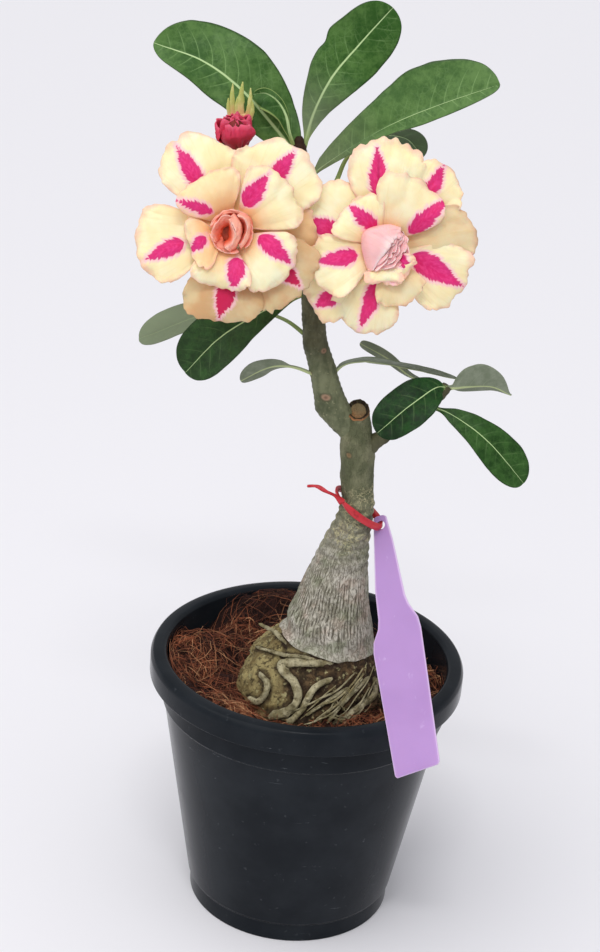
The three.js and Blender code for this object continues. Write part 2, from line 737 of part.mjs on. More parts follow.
function budSolid() {
  const list = [0, 1, 2, 3, 4].map((i) => ({
    angle: 137.5 * i,
    span: 160 - 8 * i,
    root: 3.4 - 0.3 * i,
    radius: 8.8 - 0.9 * i,
    low: 2.5 + 0.5 * i,
    high: 16.5 + i,
    flare: 1 - 0.4 * i,
    ruffle: 0.9,
  }));
  const core = turned([[0, -3], [1.6, -3], [3.4, 2], [6.4, 7], [6, 14], [2.4, 18], [0, 19]], 8);
  return joined([core, ...shells(list, 3, 4)]);
}

const TIPS_FOOT = [-51, -3.5, 416.5];
const TIPS = [
  { side: -6.5, length: 8, width: 1.5 },
  { side: -4.5, length: 15, width: 1.9 },
  { side: 0, length: 16.5, width: 2.4 },
  { side: 3, length: 12, width: 1.6 },
  { side: 5.5, length: 13, width: 1.7 },
];

function tipsSolid() {
  const [x, y, z] = TIPS_FOOT;
  const blades = TIPS.map(({ side, length, width }) => {
    const surface = (along, across) => {
      const half = width * Math.sin(Math.PI * mix(0.3, 0.96, along));
      return vec(x + side * mix(0.7, 1, along) + half * across, y + 0.5 * along, z + length * along);
    };
    return sheet(surface, () => 0.9, 3, 2);
  });
  const base = new THREE.BoxGeometry(10, 1.8, 3);
  base.translate(x, y, z);
  const stalk = branch({
    points: [[x, y, z], [x, y + 1, z - 9], [x + 0.5, y - 2.5, z - 20], [x + 1, y - 4.5, z - 24]],
    radii: [0.9, 1, 1, 0.9],
    sides: 5,
    steps: 5,
  });
  return joined([solidOfGeometry(base), stalk, ...blades]);
}

// The label hangs from the tie by its hole and leans on the rim.
// Its outline is in the label's own plane: x across, y down from the hole.

const TAG_HOLE = [30.3, -9, 220.7];
const TAG_FOOT = [56.1, -84.4, 128.4];
const TAG_YAW = radians(-10);
const TAG_OUTLINE = [
  [-3.4, -3.6], [-2, -4.6], [2, -4.8], [3.3, -3.8], [4.9, 8.5], [6.8, 36.5], [8, 41],
  [11.6, 48], [12.3, 53.5], [11.6, 118.6], [10.6, 119.9], [-10.3, 123.2], [-11.4, 122.4],
  [-13.4, 62], [-12.6, 57], [-9.4, 51], [-8.5, 46], [-8, 32],
];

function tagSolid() {
  const shape = new THREE.Shape(TAG_OUTLINE.map(([x, y]) => new THREE.Vector2(x, y)));
  const hole = new THREE.Path().absarc(0, 0, TAG_HOLE_RADIUS, 0, 2 * Math.PI, true);
  shape.holes.push(hole);
  const plate = new THREE.ExtrudeGeometry(shape, {
    depth: TAG_THICKNESS,
    bevelEnabled: false,
    curveSegments: 7,
  });
  plate.translate(0, 0, -TAG_THICKNESS / 2);
  const down = vec(...TAG_FOOT).sub(vec(...TAG_HOLE)).normalize();
  const across = vec(Math.cos(TAG_YAW), Math.sin(TAG_YAW), 0);
  across.z = -(across.x * down.x + across.y * down.y) / down.z;
  across.normalize();
  const normal = new THREE.Vector3().crossVectors(across, down);
  plate.applyMatrix4(new THREE.Matrix4().makeBasis(across, down, normal).setPosition(...TAG_HOLE));
  return solidOfGeometry(plate);
}

// The tie: a wire loop round the stem and through the label's hole, with a twisted tail

const TIE_CENTRE = [17.3, -8, 229.4];
const TIE_LOOP_RADIUS = 10.2;
const TIE_REACH = 2.9;

function tieSolid() {
  const [x0, y0, z0] = TIE_CENTRE;
  const count = 18;
  const sides = 6;
  const middle = (i) => {
    const turn = (2 * Math.PI * i) / count;
    const reach = TIE_LOOP_RADIUS + TIE_REACH * Math.max(0, Math.cos(turn)) ** 3;
    const x = reach * Math.cos(turn);
    return vec(x0 + x, y0 + reach * Math.sin(turn), z0 - TIE_SLOPE * x);
  };
  const points = [];
  const faces = [];
  for (let i = 0; i < count; i += 1) {
    const centre = middle(i);
    const tangent = middle(i + 1).sub(middle(i - 1)).normalize();
    const out = centre.clone().sub(vec(...TIE_CENTRE));
    out.addScaledVector(tangent, -out.dot(tangent)).normalize();
    const other = new THREE.Vector3().crossVectors(tangent, out);
    for (let j = 0; j < sides; j += 1) {
      const angle = (2 * Math.PI * j) / sides;
      points.push(centre.clone()
        .addScaledVector(out, TIE_RADIUS * Math.cos(angle))
        .addScaledVector(other, TIE_RADIUS * Math.sin(angle)));
      const a = i * sides + j;
      const b = i * sides + ((j + 1) % sides);
      const c = (b + sides) % (count * sides);
      const d = (a + sides) % (count * sides);
      faces.push([a, b, c], [a, c, d]);
    }
  }
  return joined([solidOf(points, faces), tieTail()]);
}

function tieTail() {
  const curve = curveThrough([[10.5, -16.4, 234.4], [6.3, -16.6, 238], [1.8, -16.4, 239.8],
    [-2.8, -15.4, 241.6], [-7.6, -14, 240.7]]);
  const steps = 14;
  const rings = framesAlong(curve, steps).map(({ centre, side, other }, i) => {
    const ring = [];
    for (let j = 0; j < 6; j += 1) {
      const angle = (2 * Math.PI * j) / 6;
      const turn = 0.9 * i;
      const wide = 1.5 * Math.cos(angle);
      const thin = 0.9 * Math.sin(angle);
      ring.push(centre.clone()
        .addScaledVector(side, wide * Math.cos(turn) - thin * Math.sin(turn))
        .addScaledVector(other, wide * Math.sin(turn) + thin * Math.cos(turn)));
    }
    return ring;
  });
  return loft(rings);
}

// Materials

const MATERIALS = {
  pot: { color: 0x2e3033, roughness: 0.3, metalness: 0 },
  coir: { color: 0x6b3a26, roughness: 1, metalness: 0 },
  bark: { color: 0x8f8b74, roughness: 0.85, metalness: 0 },
  leaf: { color: 0x3f6a35, roughness: 0.45, metalness: 0 },
  petal: { color: 0xfbe6b4, roughness: 0.6, metalness: 0 },
  heartLeft: { color: 0xe98a76, roughness: 0.6, metalness: 0 },
  heartRight: { color: 0xf3a9ae, roughness: 0.6, metalness: 0 },
  calyx: { color: 0x8a9a5a, roughness: 0.6, metalness: 0 },
  bud: { color: 0xc93a55, roughness: 0.6, metalness: 0 },
  tips: { color: 0xb9be72, roughness: 0.6, metalness: 0 },
  tag: { color: 0xc39be1, roughness: 0.5, metalness: 0 },
  tie: { color: 0xc42c36, roughness: 0.5, metalness: 0 },
};

const group = new THREE.Group();

function addPiece(name, solid, look) {
  const mesh = new THREE.Mesh(geometryOf(solid), new THREE.MeshStandardMaterial(MATERIALS[look]));
  mesh.name = name;
  group.add(mesh);
}

const stems = joined(stemParts());
const stemRoom = joined(stemParts(GAP));

addPiece('pot', potSolid(), 'pot');
addPiece('coir', mainBody(coirSolid(stemRoom)), 'coir');
addPiece('caudex_and_stems', stems, 'bark');

for (const [name, leaf] of Object.entries(LEAVES)) {
  addPiece(name, leafSolid(leaf, stemRoom), 'leaf');
}

const BLOOMS = [
  { name: 'bloom_left', petals: LEFT_PETALS, heart: leftHeart, look: 'heartLeft', ...BLOOM_LEFT },
  { name: 'bloom_right', petals: RIGHT_PETALS, heart: rightHeart, look: 'heartRight', ...BLOOM_RIGHT },
];
for (const { name, petals, heart, look, centre, facing } of BLOOMS) {
  const matrix = placement({ centre, facing, roll: BLOOM_ROLL });
  const corolla = joined([bloomTube(), ...petals.map(petalSolid)]).subtract(heartRoom());
  addPiece(`${name}_petals`, placed(mainBody(corolla), matrix), 'petal');
  addPiece(`${name}_heart`, placed(mainBody(heart()), matrix), look);
  addPiece(`${name}_calyx`, placed(calyxSolid(), matrix), 'calyx');
}

addPiece('bud', mainBody(placed(budSolid(), placement(BUD)).subtract(stemRoom)), 'bud');
addPiece('bud_tips', mainBody(tipsSolid().subtract(stemRoom)), 'tips');
addPiece('plant_tag', tagSolid(), 'tag');
addPiece('twist_tie', tieSolid(), 'tie');

export default group;
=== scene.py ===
# A grafted desert rose in a nursery pot: bark, leaves, double blooms, a bud, coir, a label and a tie.
# Every piece is built in millimetres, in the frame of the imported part, and stored in metres.
import math
from collections import namedtuple
from functools import cached_property, partial

import bpy
import numpy as np
from mathutils import Matrix, Vector


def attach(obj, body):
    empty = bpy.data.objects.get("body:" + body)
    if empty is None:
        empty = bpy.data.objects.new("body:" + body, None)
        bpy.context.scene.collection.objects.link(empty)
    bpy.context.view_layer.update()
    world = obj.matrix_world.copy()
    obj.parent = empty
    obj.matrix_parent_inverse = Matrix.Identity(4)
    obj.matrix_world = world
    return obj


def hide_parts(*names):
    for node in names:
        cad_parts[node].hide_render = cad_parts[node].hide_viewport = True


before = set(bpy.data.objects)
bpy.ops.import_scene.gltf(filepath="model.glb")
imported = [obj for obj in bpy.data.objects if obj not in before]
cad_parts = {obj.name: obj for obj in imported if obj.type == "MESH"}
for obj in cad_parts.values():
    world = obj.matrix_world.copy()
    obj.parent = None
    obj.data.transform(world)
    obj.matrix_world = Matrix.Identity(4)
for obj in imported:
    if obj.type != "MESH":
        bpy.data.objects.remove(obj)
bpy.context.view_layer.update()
MM = 0.001

# Pot and coir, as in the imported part
POT_HEIGHT = 141.7
RIM_RADIUS = 80
RIM_DROP = 13
RIM_SKIRT = 1.6
MOUTH_RADIUS = 73
BAND_RADIUS = 73
BAND_DROP = 27
BODY_TOP_RADIUS = 72
BODY_FOOT_RADIUS = 54.3
FOOT_RADIUS = 52.8
FOOT_HEIGHT = 11.5
POT_WALL = 1.5
POT_FLOOR = 2
DRAIN_HOLES = 8
DRAIN_RADIUS = 4
DRAIN_CIRCLE = 40
DRAIN_SIDES = 32
POT_SIDES = 192
COIR_LEVEL = 128
COIR_LUMP = 1.3
COIR_WALL = BAND_RADIUS - POT_WALL - 1
COIR_RINGS = 62
COIR_SIDES = 220
FIBRES = 14500
FIBRE_STEPS = 4
FIBRE_SEED = 17

# Blooms
PETAL_ROOT = 3
TUBE_LENGTH = 31
TUBE_MOUTH_RADIUS = 8.8
TUBE_MOUTH_DEPTH = 1.5
CALYX_DEPTH = 35.5


# Curves, grids and noise

def unit(vectors):
    vectors = np.asarray(vectors, float)
    return vectors / np.maximum(np.linalg.norm(vectors, axis=-1, keepdims=True), 1e-12)


def mix(low, high, share):
    return low + (high - low) * share


def smoothstep(value, low, high):
    share = np.clip((value - low) / (high - low), 0, 1)
    return share * share * (3 - 2 * share)


def stack(*parts):
    """Parts, spread over one another's rows and columns, as the last axis of one array."""
    return np.stack(np.broadcast_arrays(*parts), axis=-1)


def spread(value, place):
    """A value for each point of a grid, in one row."""
    value = np.broadcast_to(value, place.shape[:2] + np.shape(value)[2:])
    return value.reshape((-1,) + value.shape[2:])


def polar(radius, degrees):
    turn = math.radians(degrees)
    return radius * np.array([math.cos(turn), math.sin(turn)])


def circle(count):
    return np.linspace(0, 2 * np.pi, count, endpoint=False)


def shares_down(count):
    """A column of shares from 0 to 1."""
    return np.linspace(0, 1, count)[:, None]


def shares_across(count):
    """A row of shares from -1 to 1."""
    return np.linspace(-1, 1, count)[None]


def curve(knots, shares):
    """Points on a centripetal Catmull-Rom curve. Each span between knots takes an equal share."""
    knots = np.asarray(knots, float)
    if knots.ndim == 1:
        knots = knots[:, None]
    spans = len(knots) - 1
    knots = np.vstack([2 * knots[0] - knots[1], knots, 2 * knots[-1] - knots[-2]])
    place = np.clip(np.asarray(shares, float), 0, 1) * spans
    first = np.minimum(place.astype(int), spans - 1)
    t = (place - first)[..., None]
    p = [knots[first + k] for k in range(4)]
    d = [np.sqrt(np.linalg.norm(p[k + 1] - p[k], axis=-1, keepdims=True)) for k in range(3)]
    d[1] = np.where(d[1] < 1e-4, 1, d[1])
    d[0] = np.where(d[0] < 1e-4, d[1], d[0])
    d[2] = np.where(d[2] < 1e-4, d[1], d[2])
    start = ((p[1] - p[0]) / d[0] - (p[2] - p[0]) / (d[0] + d[1])) * d[1] + p[2] - p[1]
    end = ((p[3] - p[2]) / d[2] - (p[3] - p[1]) / (d[1] + d[2])) * d[1] + p[2] - p[1]
    square = -3 * p[1] + 3 * p[2] - 2 * start - end
    cube = 2 * p[1] - 2 * p[2] + start + end
    return p[1] + t * start + t**2 * square + t**3 * cube


def tangents(knots, shares):
    step = 1e-4
    return unit(curve(knots, shares + step) - curve(knots, shares - step))


def lattice(cell, seed):
    """A repeatable number from -1 to 1 for each whole-number cell."""
    x, y, z = (cell[..., k].astype(np.int64) for k in range(3))
    n = (x * 73856093) ^ (y * 19349663) ^ (z * 83492791) ^ (seed * 40503 + 12345)
    n = (n ^ (n >> 13)) * 1274126177
    return ((n >> 7) & 0xFFFF) / 32767.5 - 1


def noise(points, size, seed=0):
    """Smooth noise from -1 to 1, with lumps of that size."""
    places = np.asarray(points, float) / size
    base = np.floor(places)
    part = places - base
    part = part * part * (3 - 2 * part)
    total = np.zeros(places.shape[:-1])
    for corner in np.ndindex(2, 2, 2):
        weight = np.prod(np.where(np.array(corner) == 1, part, 1 - part), axis=-1)
        total += weight * lattice(base + np.array(corner), seed)
    return total


class Form:
    """Points in millimetres, their faces, and named values for each point, for one piece."""

    def __init__(self):
        self.points = []
        self.faces = []
        self.values = []
        self.count = 0

    def add(self, points, faces, **values):
        points = np.asarray(points, float).reshape(-1, 3)
        self.faces += [tuple(int(k) + self.count for k in face) for face in faces]
        self.points.append(points)
        self.values.append((len(points), values))
        self.count += len(points)

    def grid(self, place, ends=True, **values):
        """A surface through rings of points. ends closes its first and last ring."""
        rows, columns = place.shape[:2]
        faces = grid_faces(rows, columns, True).tolist()
        points = place.reshape(-1, 3)
        flat = {key: spread(value, place) for key, value in values.items()}
        if ends:
            for row in (0, rows - 1):
                middle = len(points)
                points = np.vstack([points, place[row].mean(axis=0)])
                for key, value in flat.items():
                    flat[key] = np.concatenate([value, value[row * columns][None]])
                for j in range(columns):
                    a, b = row * columns + j, row * columns + (j + 1) % columns
                    faces.append((middle, a, b) if row else (middle, b, a))
        self.add(points, faces, **flat)

    def blade(self, place, thickness, backs=None, **values):
        """A thin sheet on a grid of middle points. backs holds a value for each of its two faces."""
        rows, columns = place.shape[:2]
        normal = unit(np.cross(np.gradient(place, axis=0), np.gradient(place, axis=1)))
        half = normal * (np.broadcast_to(thickness, (rows, columns)) / 2)[..., None]
        count = rows * columns
        faces = grid_faces(rows, columns, False)
        border = [i * columns for i in range(rows - 1)]
        border += [(rows - 1) * columns + j for j in range(columns - 1)]
        border += [i * columns + columns - 1 for i in range(rows - 1, 0, -1)]
        border += list(range(columns - 1, 0, -1))
        edge = [(q, p, p + count, q + count) for p, q in zip(border, border[1:] + border[:1])]
        points = np.vstack([(place + half).reshape(-1, 3), (place - half).reshape(-1, 3)])
        both = {key: np.concatenate([spread(value, place)] * 2) for key, value in values.items()}
        if backs:
            both["back"] = np.repeat(backs, count)
        self.add(points, faces[:, ::-1].tolist() + (faces + count).tolist() + edge, **both)

    def piece(self, name, material, slot, *nodes):
        """The form as one shown mesh that rides with the part and stands for those nodes."""
        points = np.vstack(self.points) * MM
        mesh = bpy.data.meshes.new(name)
        mesh.from_pydata(points.tolist(), [], self.faces)
        mesh.shade_smooth()
        for key in sorted({k for _, values in self.values for k in values}):
            wide = np.ndim(next(v[key] for _, v in self.values if key in v)) == 2
            rows = [v.get(key, np.zeros((count, 3) if wide else count)) for count, v in self.values]
            made = mesh.attributes.new(key, "FLOAT_VECTOR" if wide else "FLOAT", "POINT")
            made.data.foreach_set("vector" if wide else "value", np.concatenate(rows).astype(float).ravel())
        mesh.materials.append(material)
        piece = bpy.data.objects.new(name, mesh)
        bpy.context.scene.collection.objects.link(piece)
        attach(piece, "root")
        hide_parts(*nodes)
        return piece


def grid_faces(rows, columns, around):
    across = columns if around else columns - 1
    i, j = np.meshgrid(np.arange(rows - 1), np.arange(across), indexing="ij")
    a = i * columns + j
    b = i * columns + (j + 1) % columns
    return stack(a, b, b + columns, a + columns).reshape(-1, 4)


def lengths_along(points):
    """How far along a line of points each one lies."""
    return np.concatenate([[0], np.cumsum(np.linalg.norm(np.diff(points, axis=0), axis=1))])


def frames_along(knots, steps):
    """Middle points of a curve, and two directions across it that never twist."""
    shares = np.linspace(0, 1, steps + 1)
    ahead = tangents(knots, shares)
    helper = (0, 0, 1) if abs(ahead[0][2]) < 0.9 else (1, 0, 0)
    side = np.cross(helper, ahead[0])
    sides = []
    for forward in ahead:
        side = unit(side - forward * side.dot(forward))
        sides.append(side)
    sides = np.array(sides)
    return curve(knots, shares), sides, np.cross(ahead, sides)


def tube(knots, radii, sides, steps, shape=None):
    """Rows of points round a curve. shape changes the radius by share, turn and place."""
    middle, side, other = frames_along(knots, steps)
    shares = shares_down(steps + 1)
    turn = circle(sides)[None]
    out = np.cos(turn)[..., None] * side[:, None] + np.sin(turn)[..., None] * other[:, None]
    reach = np.repeat(curve(radii, shares[:, 0]), sides, axis=1)
    if shape:
        reach = shape(shares, turn, reach, middle[:, None] + out * reach[..., None])
    return middle[:, None] + out * reach[..., None]


def turned(profile, sides):
    """Rows of points of a profile of (radius, height), turned about +Z."""
    profile = np.asarray(profile, float)
    turn = circle(sides)
    ring = stack(np.cos(turn), np.sin(turn), 1)
    scale = stack(profile[:, 0], profile[:, 0], profile[:, 1])
    return scale[:, None] * ring[None]


def rounded(corners, radius):
    """A profile with each corner cut to a small arc."""
    corners = np.asarray(corners, float)
    points = [corners[0]]
    for before, corner, after in zip(corners, corners[1:], corners[2:]):
        to_before, to_after = before - corner, after - corner
        reach = min(radius, 0.45 * np.linalg.norm(to_before), 0.45 * np.linalg.norm(to_after))
        start = corner + unit(to_before) * reach
        end = corner + unit(to_after) * reach
        for t in np.linspace(0, 1, 5):
            points.append((1 - t) ** 2 * start + 2 * t * (1 - t) * corner + t * t * end)
    points.append(corners[-1])
    return np.array(points)


# Materials

def linear(red, green, blue):
    """A colour from 0 to 255, as seen on a screen, in the linear values that shaders use."""
    channels = np.array([red, green, blue]) / 255
    values = np.where(channels <= 0.04045, channels / 12.92, ((channels + 0.055) / 1.055) ** 2.4)
    return (*values.tolist(), 1.0)


class Signal:
    """What a node gives out. Plain arithmetic on it adds more nodes."""

    def __init__(self, look, socket):
        self.look = look
        self.socket = socket

    def __add__(self, other):
        return self.look.maths("ADD", self, other)

    def __sub__(self, other):
        return self.look.maths("SUBTRACT", self, other)

    def __mul__(self, other):
        return self.look.maths("MULTIPLY", self, other)

    def __truediv__(self, other):
        return self.look.maths("DIVIDE", self, other)

    def __abs__(self):
        return self.look.maths("ABSOLUTE", self)


class Look:
    """A material with one Principled shader, and short calls that add nodes before it.

    Colours are given from 0 to 255, as seen on a screen."""

    def __init__(self, name, **constants):
        self.material = bpy.data.materials.new(name)
        self.material.use_nodes = True
        self.tree = self.material.node_tree
        self.shader = self.tree.nodes["Principled BSDF"]
        for key, value in constants.items():
            self.shader.inputs[key.replace("_", " ")].default_value = value

    @cached_property
    def place(self):
        return self.node("TexCoord", (), "Object")

    def node(self, kind, inputs=(), output=0, **settings):
        made = self.tree.nodes.new("ShaderNode" + kind)
        for key, value in settings.items():
            setattr(made, key, value)
        for key, value in dict(inputs).items():
            self.set(made.inputs[key], value)
        return Signal(self, made.outputs[output])

    def set(self, socket, value):
        if isinstance(value, Signal):
            self.tree.links.new(value.socket, socket)
        else:
            socket.default_value = linear(*value) if socket.type == "RGBA" else value

    def maths(self, operation, *values):
        return self.node("Math", enumerate(values), operation=operation)

    def attribute(self, name, output="Fac"):
        return self.node("Attribute", (), output, attribute_name=name)

    def parts(self, name):
        """The three numbers of a piece's named values."""
        made = self.node("SeparateXYZ", {0: self.attribute(name, "Vector")}).socket.node
        return [Signal(self, made.outputs[k]) for k in range(3)]

    def scaled(self, x, y, z, at=None):
        return self.node("VectorMath", {0: at or self.place, 1: (x, y, z)}, operation="MULTIPLY")

    def noise(self, scale, detail=3.0, roughness=0.55, distortion=0.0, at=None):
        inputs = {"Vector": at or self.place, "Scale": scale, "Detail": detail, "Roughness": roughness,
                  "Distortion": distortion}
        return self.node("TexNoise", inputs, "Fac")

    def cells(self, scale):
        inputs = {"Vector": self.place, "Scale": scale}
        return self.node("TexVoronoi", inputs, "Distance", feature="DISTANCE_TO_EDGE")

    def ramp(self, value, low, high, to_low=0.0, to_high=1.0):
        inputs = {"Value": value, "From Min": low, "From Max": high, "To Min": to_low, "To Max": to_high}
        return self.node("MapRange", inputs, interpolation_type="SMOOTHSTEP")

    def patch(self, low, high, *settings, **more):
        """Noise, spread so that low becomes 0 and high becomes 1."""
        return self.ramp(self.noise(*settings, **more), low, high)

    def blend(self, share, a, b):
        return self.node("Mix", {0: share, 6: a, 7: b}, 2, data_type="RGBA")

    def layers(self, colour, *coats):
        """A colour under coats of (share, colour)."""
        for share, coat in coats:
            colour = self.blend(share, colour, coat)
        return colour

    def finish(self, colour, roughness=None, bump=None, strength=0.3, depth=0.5 * MM):
        self.set(self.shader.inputs["Base Color"], colour)
        if roughness is not None:
            self.set(self.shader.inputs["Roughness"], roughness)
        if bump is not None:
            inputs = {"Height": bump, "Strength": strength, "Distance": depth}
            self.set(self.shader.inputs["Normal"], self.node("Bump", inputs))
        return self.material


def pot_look():
    look = Look("pot_plastic", IOR=1.25, Specular_IOR_Level=0.25)
    cloudy = look.noise(38, 4)
    tone = look.ramp(cloudy, 0.3, 0.75)
    colour = look.blend(tone, (25, 29, 34), (35, 39, 44))
    streak = look.noise(6, 4, 0.7, 0.6, at=look.scaled(9, 9, 90))
    scratch = look.ramp(streak, 0.66, 0.72) * look.patch(0.5, 0.62, 17)
    dust = look.patch(0.68, 0.8, 260, 2)
    marks = scratch * 0.3 + dust * 0.08
    colour = look.blend(marks, colour, (150, 155, 160))
    rough = look.ramp(cloudy, 0.25, 0.8, 0.16, 0.26) + marks * 0.6
    return look.finish(colour, rough, look.noise(420, 2), 0.05, 0.2 * MM)


def coir_look():
    look = Look("coir_fibre", Specular_IOR_Level=0.25)
    shade = look.attribute("shade")
    colour = look.blend(look.ramp(shade, 0.0, 0.35), (24, 12, 10), (70, 36, 27))
    colour = look.layers(colour, (look.ramp(shade, 0.35, 0.75), (146, 82, 54)),
                         (look.ramp(shade, 0.8, 1.0), (196, 146, 106)))
    colour = look.blend(look.patch(0.4, 0.65, 45, 3) * 0.4, colour, (56, 30, 26))
    return look.finish(colour, 0.85, look.noise(900, 3), 0.5, 0.4 * MM)


def bark_look():
    """Pale bark with fine upright slits on the cone, mossy roots below, smooth olive bark above.

    zone is (moss, upper bark, dark hollow) and skin is (slit, bare root, cream flecks). The dark hollow
    value is mostly painted shade, in crevices, hollows and grooves; it also carries the dark leaf scars and
    the stump's dark ring."""
    look = Look("bark", Specular_IOR_Level=0.25)
    moss, upper, hollow = look.parts("zone")
    slit, root, fleck = look.parts("skin")
    cone = look.blend(look.patch(0.35, 0.68, 60, 4), (156, 152, 136), (194, 188, 176))
    rosy = look.patch(0.5, 0.66, 85, 3)
    cone = look.blend(rosy * 0.5, cone, (176, 150, 134))
    green = look.patch(0.46, 0.64, 64, 3, at=look.scaled(1, 1, 1.4))
    cone = look.blend(green * 0.6, cone, (128, 136, 106))
    net = abs(look.noise(520, 2, 0.5, 0.5, at=look.scaled(1, 1, 0.42)) - 0.5)
    line = look.ramp(net, 0.012, 0.06, 1, 0)
    cone = look.layers(cone, (look.ramp(net, 0.08, 0.2) * 0.4, (208, 202, 190)),
                       (line * 0.5, (88, 82, 64)), (slit * 0.76, (70, 64, 48)))
    olive = look.blend(look.patch(0.35, 0.66, 120, 4, at=look.scaled(1, 1, 0.6)), (92, 96, 70),
                       (126, 126, 98))
    speck = look.patch(0.6, 0.7, 560, 3)
    olive = look.blend(speck * 0.35, olive, (74, 72, 48))
    curls = abs(look.noise(300, 3, 0.6, 1.2) - 0.5)
    cream = look.ramp(curls, 0.01, 0.05, 1, 0) * look.patch(0.42, 0.56, 130, 2) * fleck
    earth = look.blend(look.patch(0.4, 0.62, 150, 4), (158, 144, 98), (106, 90, 56))
    brown = look.blend(look.patch(0.42, 0.6, 260, 4, 0.65), (94, 74, 50), (48, 36, 24))
    mossy = look.blend(look.attribute("soil"), earth, brown)
    dark = look.patch(0.52, 0.62, 420, 4, 0.7)
    mossy = look.blend(dark * 0.8, mossy, (50, 38, 24))
    pale = look.patch(0.57, 0.66, 300, 4, 0.65)
    mossy = look.blend(pale * 0.7, mossy, (188, 180, 132))
    bare = look.blend(look.patch(0.35, 0.65, 200, 3), (124, 116, 86), (190, 182, 150))
    bare = look.blend(look.patch(0.55, 0.65, 520, 3, 0.65) * 0.7, bare, (78, 68, 46))
    colour = look.blend(moss, cone, mossy)
    # The hollow coat is mostly painted shade, and also the dark of the leaf scars and the stump's ring.
    colour = look.layers(colour, (upper, olive), (cream * 0.85, (190, 182, 142)), (root, bare),
                         (look.attribute("wood"), (186, 128, 84)), (hollow, (40, 26, 17)))
    grain = look.noise(700, 4) * 0.5 + dark * -0.4
    height = grain - (slit * 0.5 + line * 0.4)
    return look.finish(colour, 0.8, height, 0.9, 0.6 * MM)


def stem_look():
    """Greyish-green bark of the scion, with dark scars, painted shade on its upper part and paler flecks."""
    look = Look("stem_bark", Specular_IOR_Level=0.2)
    young, scar_and_shade, tan = look.parts("zone")
    cloudy = look.noise(190, 4, at=look.scaled(1, 1, 0.55))
    colour = look.blend(look.ramp(cloudy, 0.34, 0.68), (80, 86, 62), (118, 122, 94))
    fleck = look.patch(0.62, 0.74, 640, 2)
    colour = look.layers(colour, (fleck * 0.5, (158, 156, 122)), (young, (122, 138, 74)),
                         (tan * 0.75, (178, 140, 116)), (scar_and_shade, (52, 32, 22)))
    fine = look.noise(620, 4, at=look.scaled(1, 1, 0.5))
    return look.finish(colour, 0.62, fine, 0.45, 0.4 * MM)


def leaf_look():
    """Waxy green with a pale midrib and thin side veins, darker in painted shade and brighter where painted
    lit, with a painted greyish sheen on some.

    leaf is (along, sideways, half width) in millimetres, tint is (how lit the leaf is painted, how much
    greyish sheen is painted on it, how young it is)."""
    look = Look("leaf_green", Specular_IOR_Level=0.2)
    along, sideways, half = look.parts("leaf")
    painted_light, painted_sheen, young = look.parts("tint")
    rib_width = look.attribute("rib_width")
    back = look.attribute("back")
    off = abs(sideways)
    out = off / half
    wander = (look.noise(28, 2) - 0.5) * 5.0
    side = look.maths("GREATER_THAN", sideways, 0.0)
    bend = off * 0.5 + off * off * 0.03
    line = along - bend + (wander + side * 2.9)
    from_vein = look.maths("PINGPONG", line, 3.4)
    fade = look.ramp(out, 0.35, 0.95, 1, 0) * look.patch(0.3, 0.6, 33, 2)
    vein = look.ramp(from_vein, 0.04, 0.26, 1, 0) * fade
    soft = look.ramp(from_vein, 0.1, 1.0, 1, 0) * fade
    rib = look.ramp(off / rib_width, 0.45, 1.1, 1, 0)
    cloudy = look.noise(50, 3) * 0.4 + look.noise(230, 5, 0.7) * 0.6
    cloudy = look.ramp(cloudy, 0.38, 0.62)
    net = look.ramp(look.cells(380), 0.02, 0.09, 1, 0) * look.patch(0.4, 0.6, 90, 2)
    dark = look.blend(cloudy, (6, 38, 6), (24, 68, 20))
    bright = look.blend(cloudy, (46, 90, 24), (86, 124, 58))
    # Shaded leaves take the dark greens and lit leaves the bright greens: painted shade and painted
    # highlight.
    colour = look.blend(painted_light, dark, bright)
    colour = look.layers(colour, (soft * look.ramp(painted_light, 0, 1, 0.05, 0.14), (118, 156, 96)),
                         (net * look.ramp(painted_light, 0, 1, 0.03, 0.12), (138, 170, 112)),
                         (vein * look.ramp(painted_light, 0, 1, 0.14, 0.42), (150, 184, 118)),
                         (look.ramp(out, 0.93, 0.99) * 0.6, (30, 50, 24)), (rib, (190, 216, 156)),
                         (painted_sheen, (130, 141, 114)), (young, (146, 168, 96)))
    under = look.blend(cloudy, (112, 122, 100), (134, 142, 122))
    under = look.layers(under, (vein * 0.4, (154, 164, 136)), (rib, (182, 194, 142)))
    colour = look.blend(back, colour, under)
    rough = look.ramp(look.noise(300, 2), 0.2, 0.8, 0.42, 0.56)
    height = look.noise(260, 4) * 0.5 - (soft * 0.3 + net * 0.08)
    return look.finish(colour, rough, height, 0.4, 0.4 * MM)


